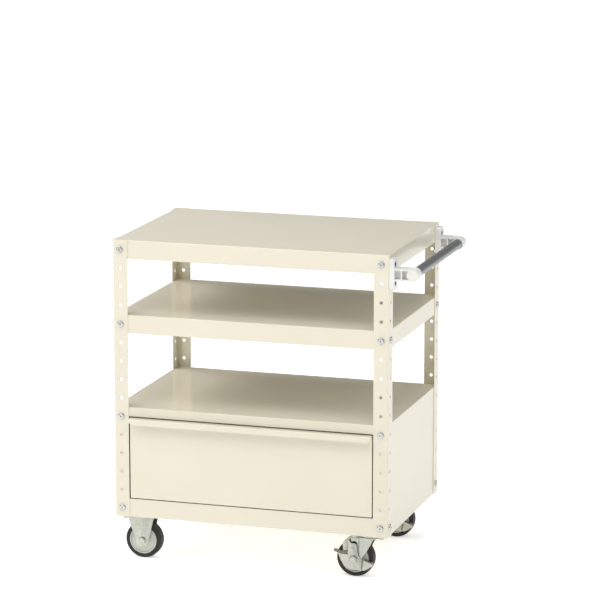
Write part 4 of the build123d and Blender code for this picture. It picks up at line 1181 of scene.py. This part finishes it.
# ------------------------------------------------------------------------------------ studio
# A wide white floor that glows a little, so that it stays white right up to the wagon, six soft
# area lights round the wagon, and a camera with a long lens.
bpy.ops.mesh.primitive_plane_add(size=60)
floor = bpy.context.object
floor.name = "studio_floor"
material, tree, place_of = new_material("matt_white_board")
# The glow grows from the wagon outwards, where the lights fall off.
distance_out = add_node(tree, "ShaderNodeVectorMath", {0: place_of}, operation="LENGTH")
glow = add_node(tree, "ShaderNodeMapRange", {
    "Value": distance_out.outputs["Value"],
    "From Min": 1.0, "From Max": 6.0, "To Min": 0.5, "To Max": 0.95,
})
shader = add_node(tree, "ShaderNodeBsdfPrincipled", {
    "Base Color": linear("#F4F4F4"),
    "Roughness": 0.9,
    "Emission Color": linear("#FFFFFF"),
    "Emission Strength": glow.outputs["Result"],
})
add_node(tree, "ShaderNodeOutputMaterial", {"Surface": shader.outputs["BSDF"]})
floor.data.materials.append(material)

scene = bpy.context.scene
world = bpy.data.worlds.new("studio_room")
world.use_nodes = True
world.node_tree.nodes["Background"].inputs["Color"].default_value = linear("#FFFFFF")
world.node_tree.nodes["Background"].inputs["Strength"].default_value = 0.2
scene.world = world
aim = Vector((0, 0, 0.45))


def soft_box(name, azimuth, elevation, distance, size, power):
    """An area light that faces the wagon, from an azimuth counted from the drawer side to +X, in
    degrees, metres and watts."""
    data = bpy.data.lights.new(name, "AREA")
    data.shape = "RECTANGLE"
    data.size, data.size_y = size
    data.energy = power
    lamp = bpy.data.objects.new(name, data)
    scene.collection.objects.link(lamp)
    around, up = radians(azimuth), radians(elevation)
    away = Vector((sin(around) * cos(up), -cos(around) * cos(up), sin(up)))
    lamp.location = aim + away * distance
    lamp.rotation_euler = (-away).to_track_quat("-Z", "Y").to_euler()


soft_box("front_light", 0, 62, 4.0, (3.0, 1.2), 36)
soft_box("front_left_light", -40, 40, 4.0, (2.4, 1.4), 29)
soft_box("front_right_light", 40, 47, 4.0, (2.4, 1.4), 25)
soft_box("left_light", -90, 40, 3.5, (2.4, 1.4), 69)
soft_box("right_light", 90, 40, 3.5, (3.2, 2.4), 28)
soft_box("top_light", 0, 88, 3.5, (2.5, 2.5), 20)

# The camera stands well back with a long lens, to the right of the drawer side and a little above
# the top shelf.
scene.view_settings.view_transform = "Standard"
camera_yaw = 17.309
camera_tilt = 11.665
camera_distance = 8.326
camera_aim = Vector((0.0996, -0.245, 0.744))
camera_data = bpy.data.cameras.new("camera")
camera_data.lens = 193.85
camera_data.sensor_width = 36.0
camera = bpy.data.objects.new("camera", camera_data)
scene.collection.objects.link(camera)
around, up = radians(camera_yaw), radians(camera_tilt)
back = Vector((sin(around) * cos(up), -cos(around) * cos(up), sin(up)))
camera.location = camera_aim + camera_distance * back
camera.rotation_euler = (pi / 2 - up, 0, around)
scene.camera = camera
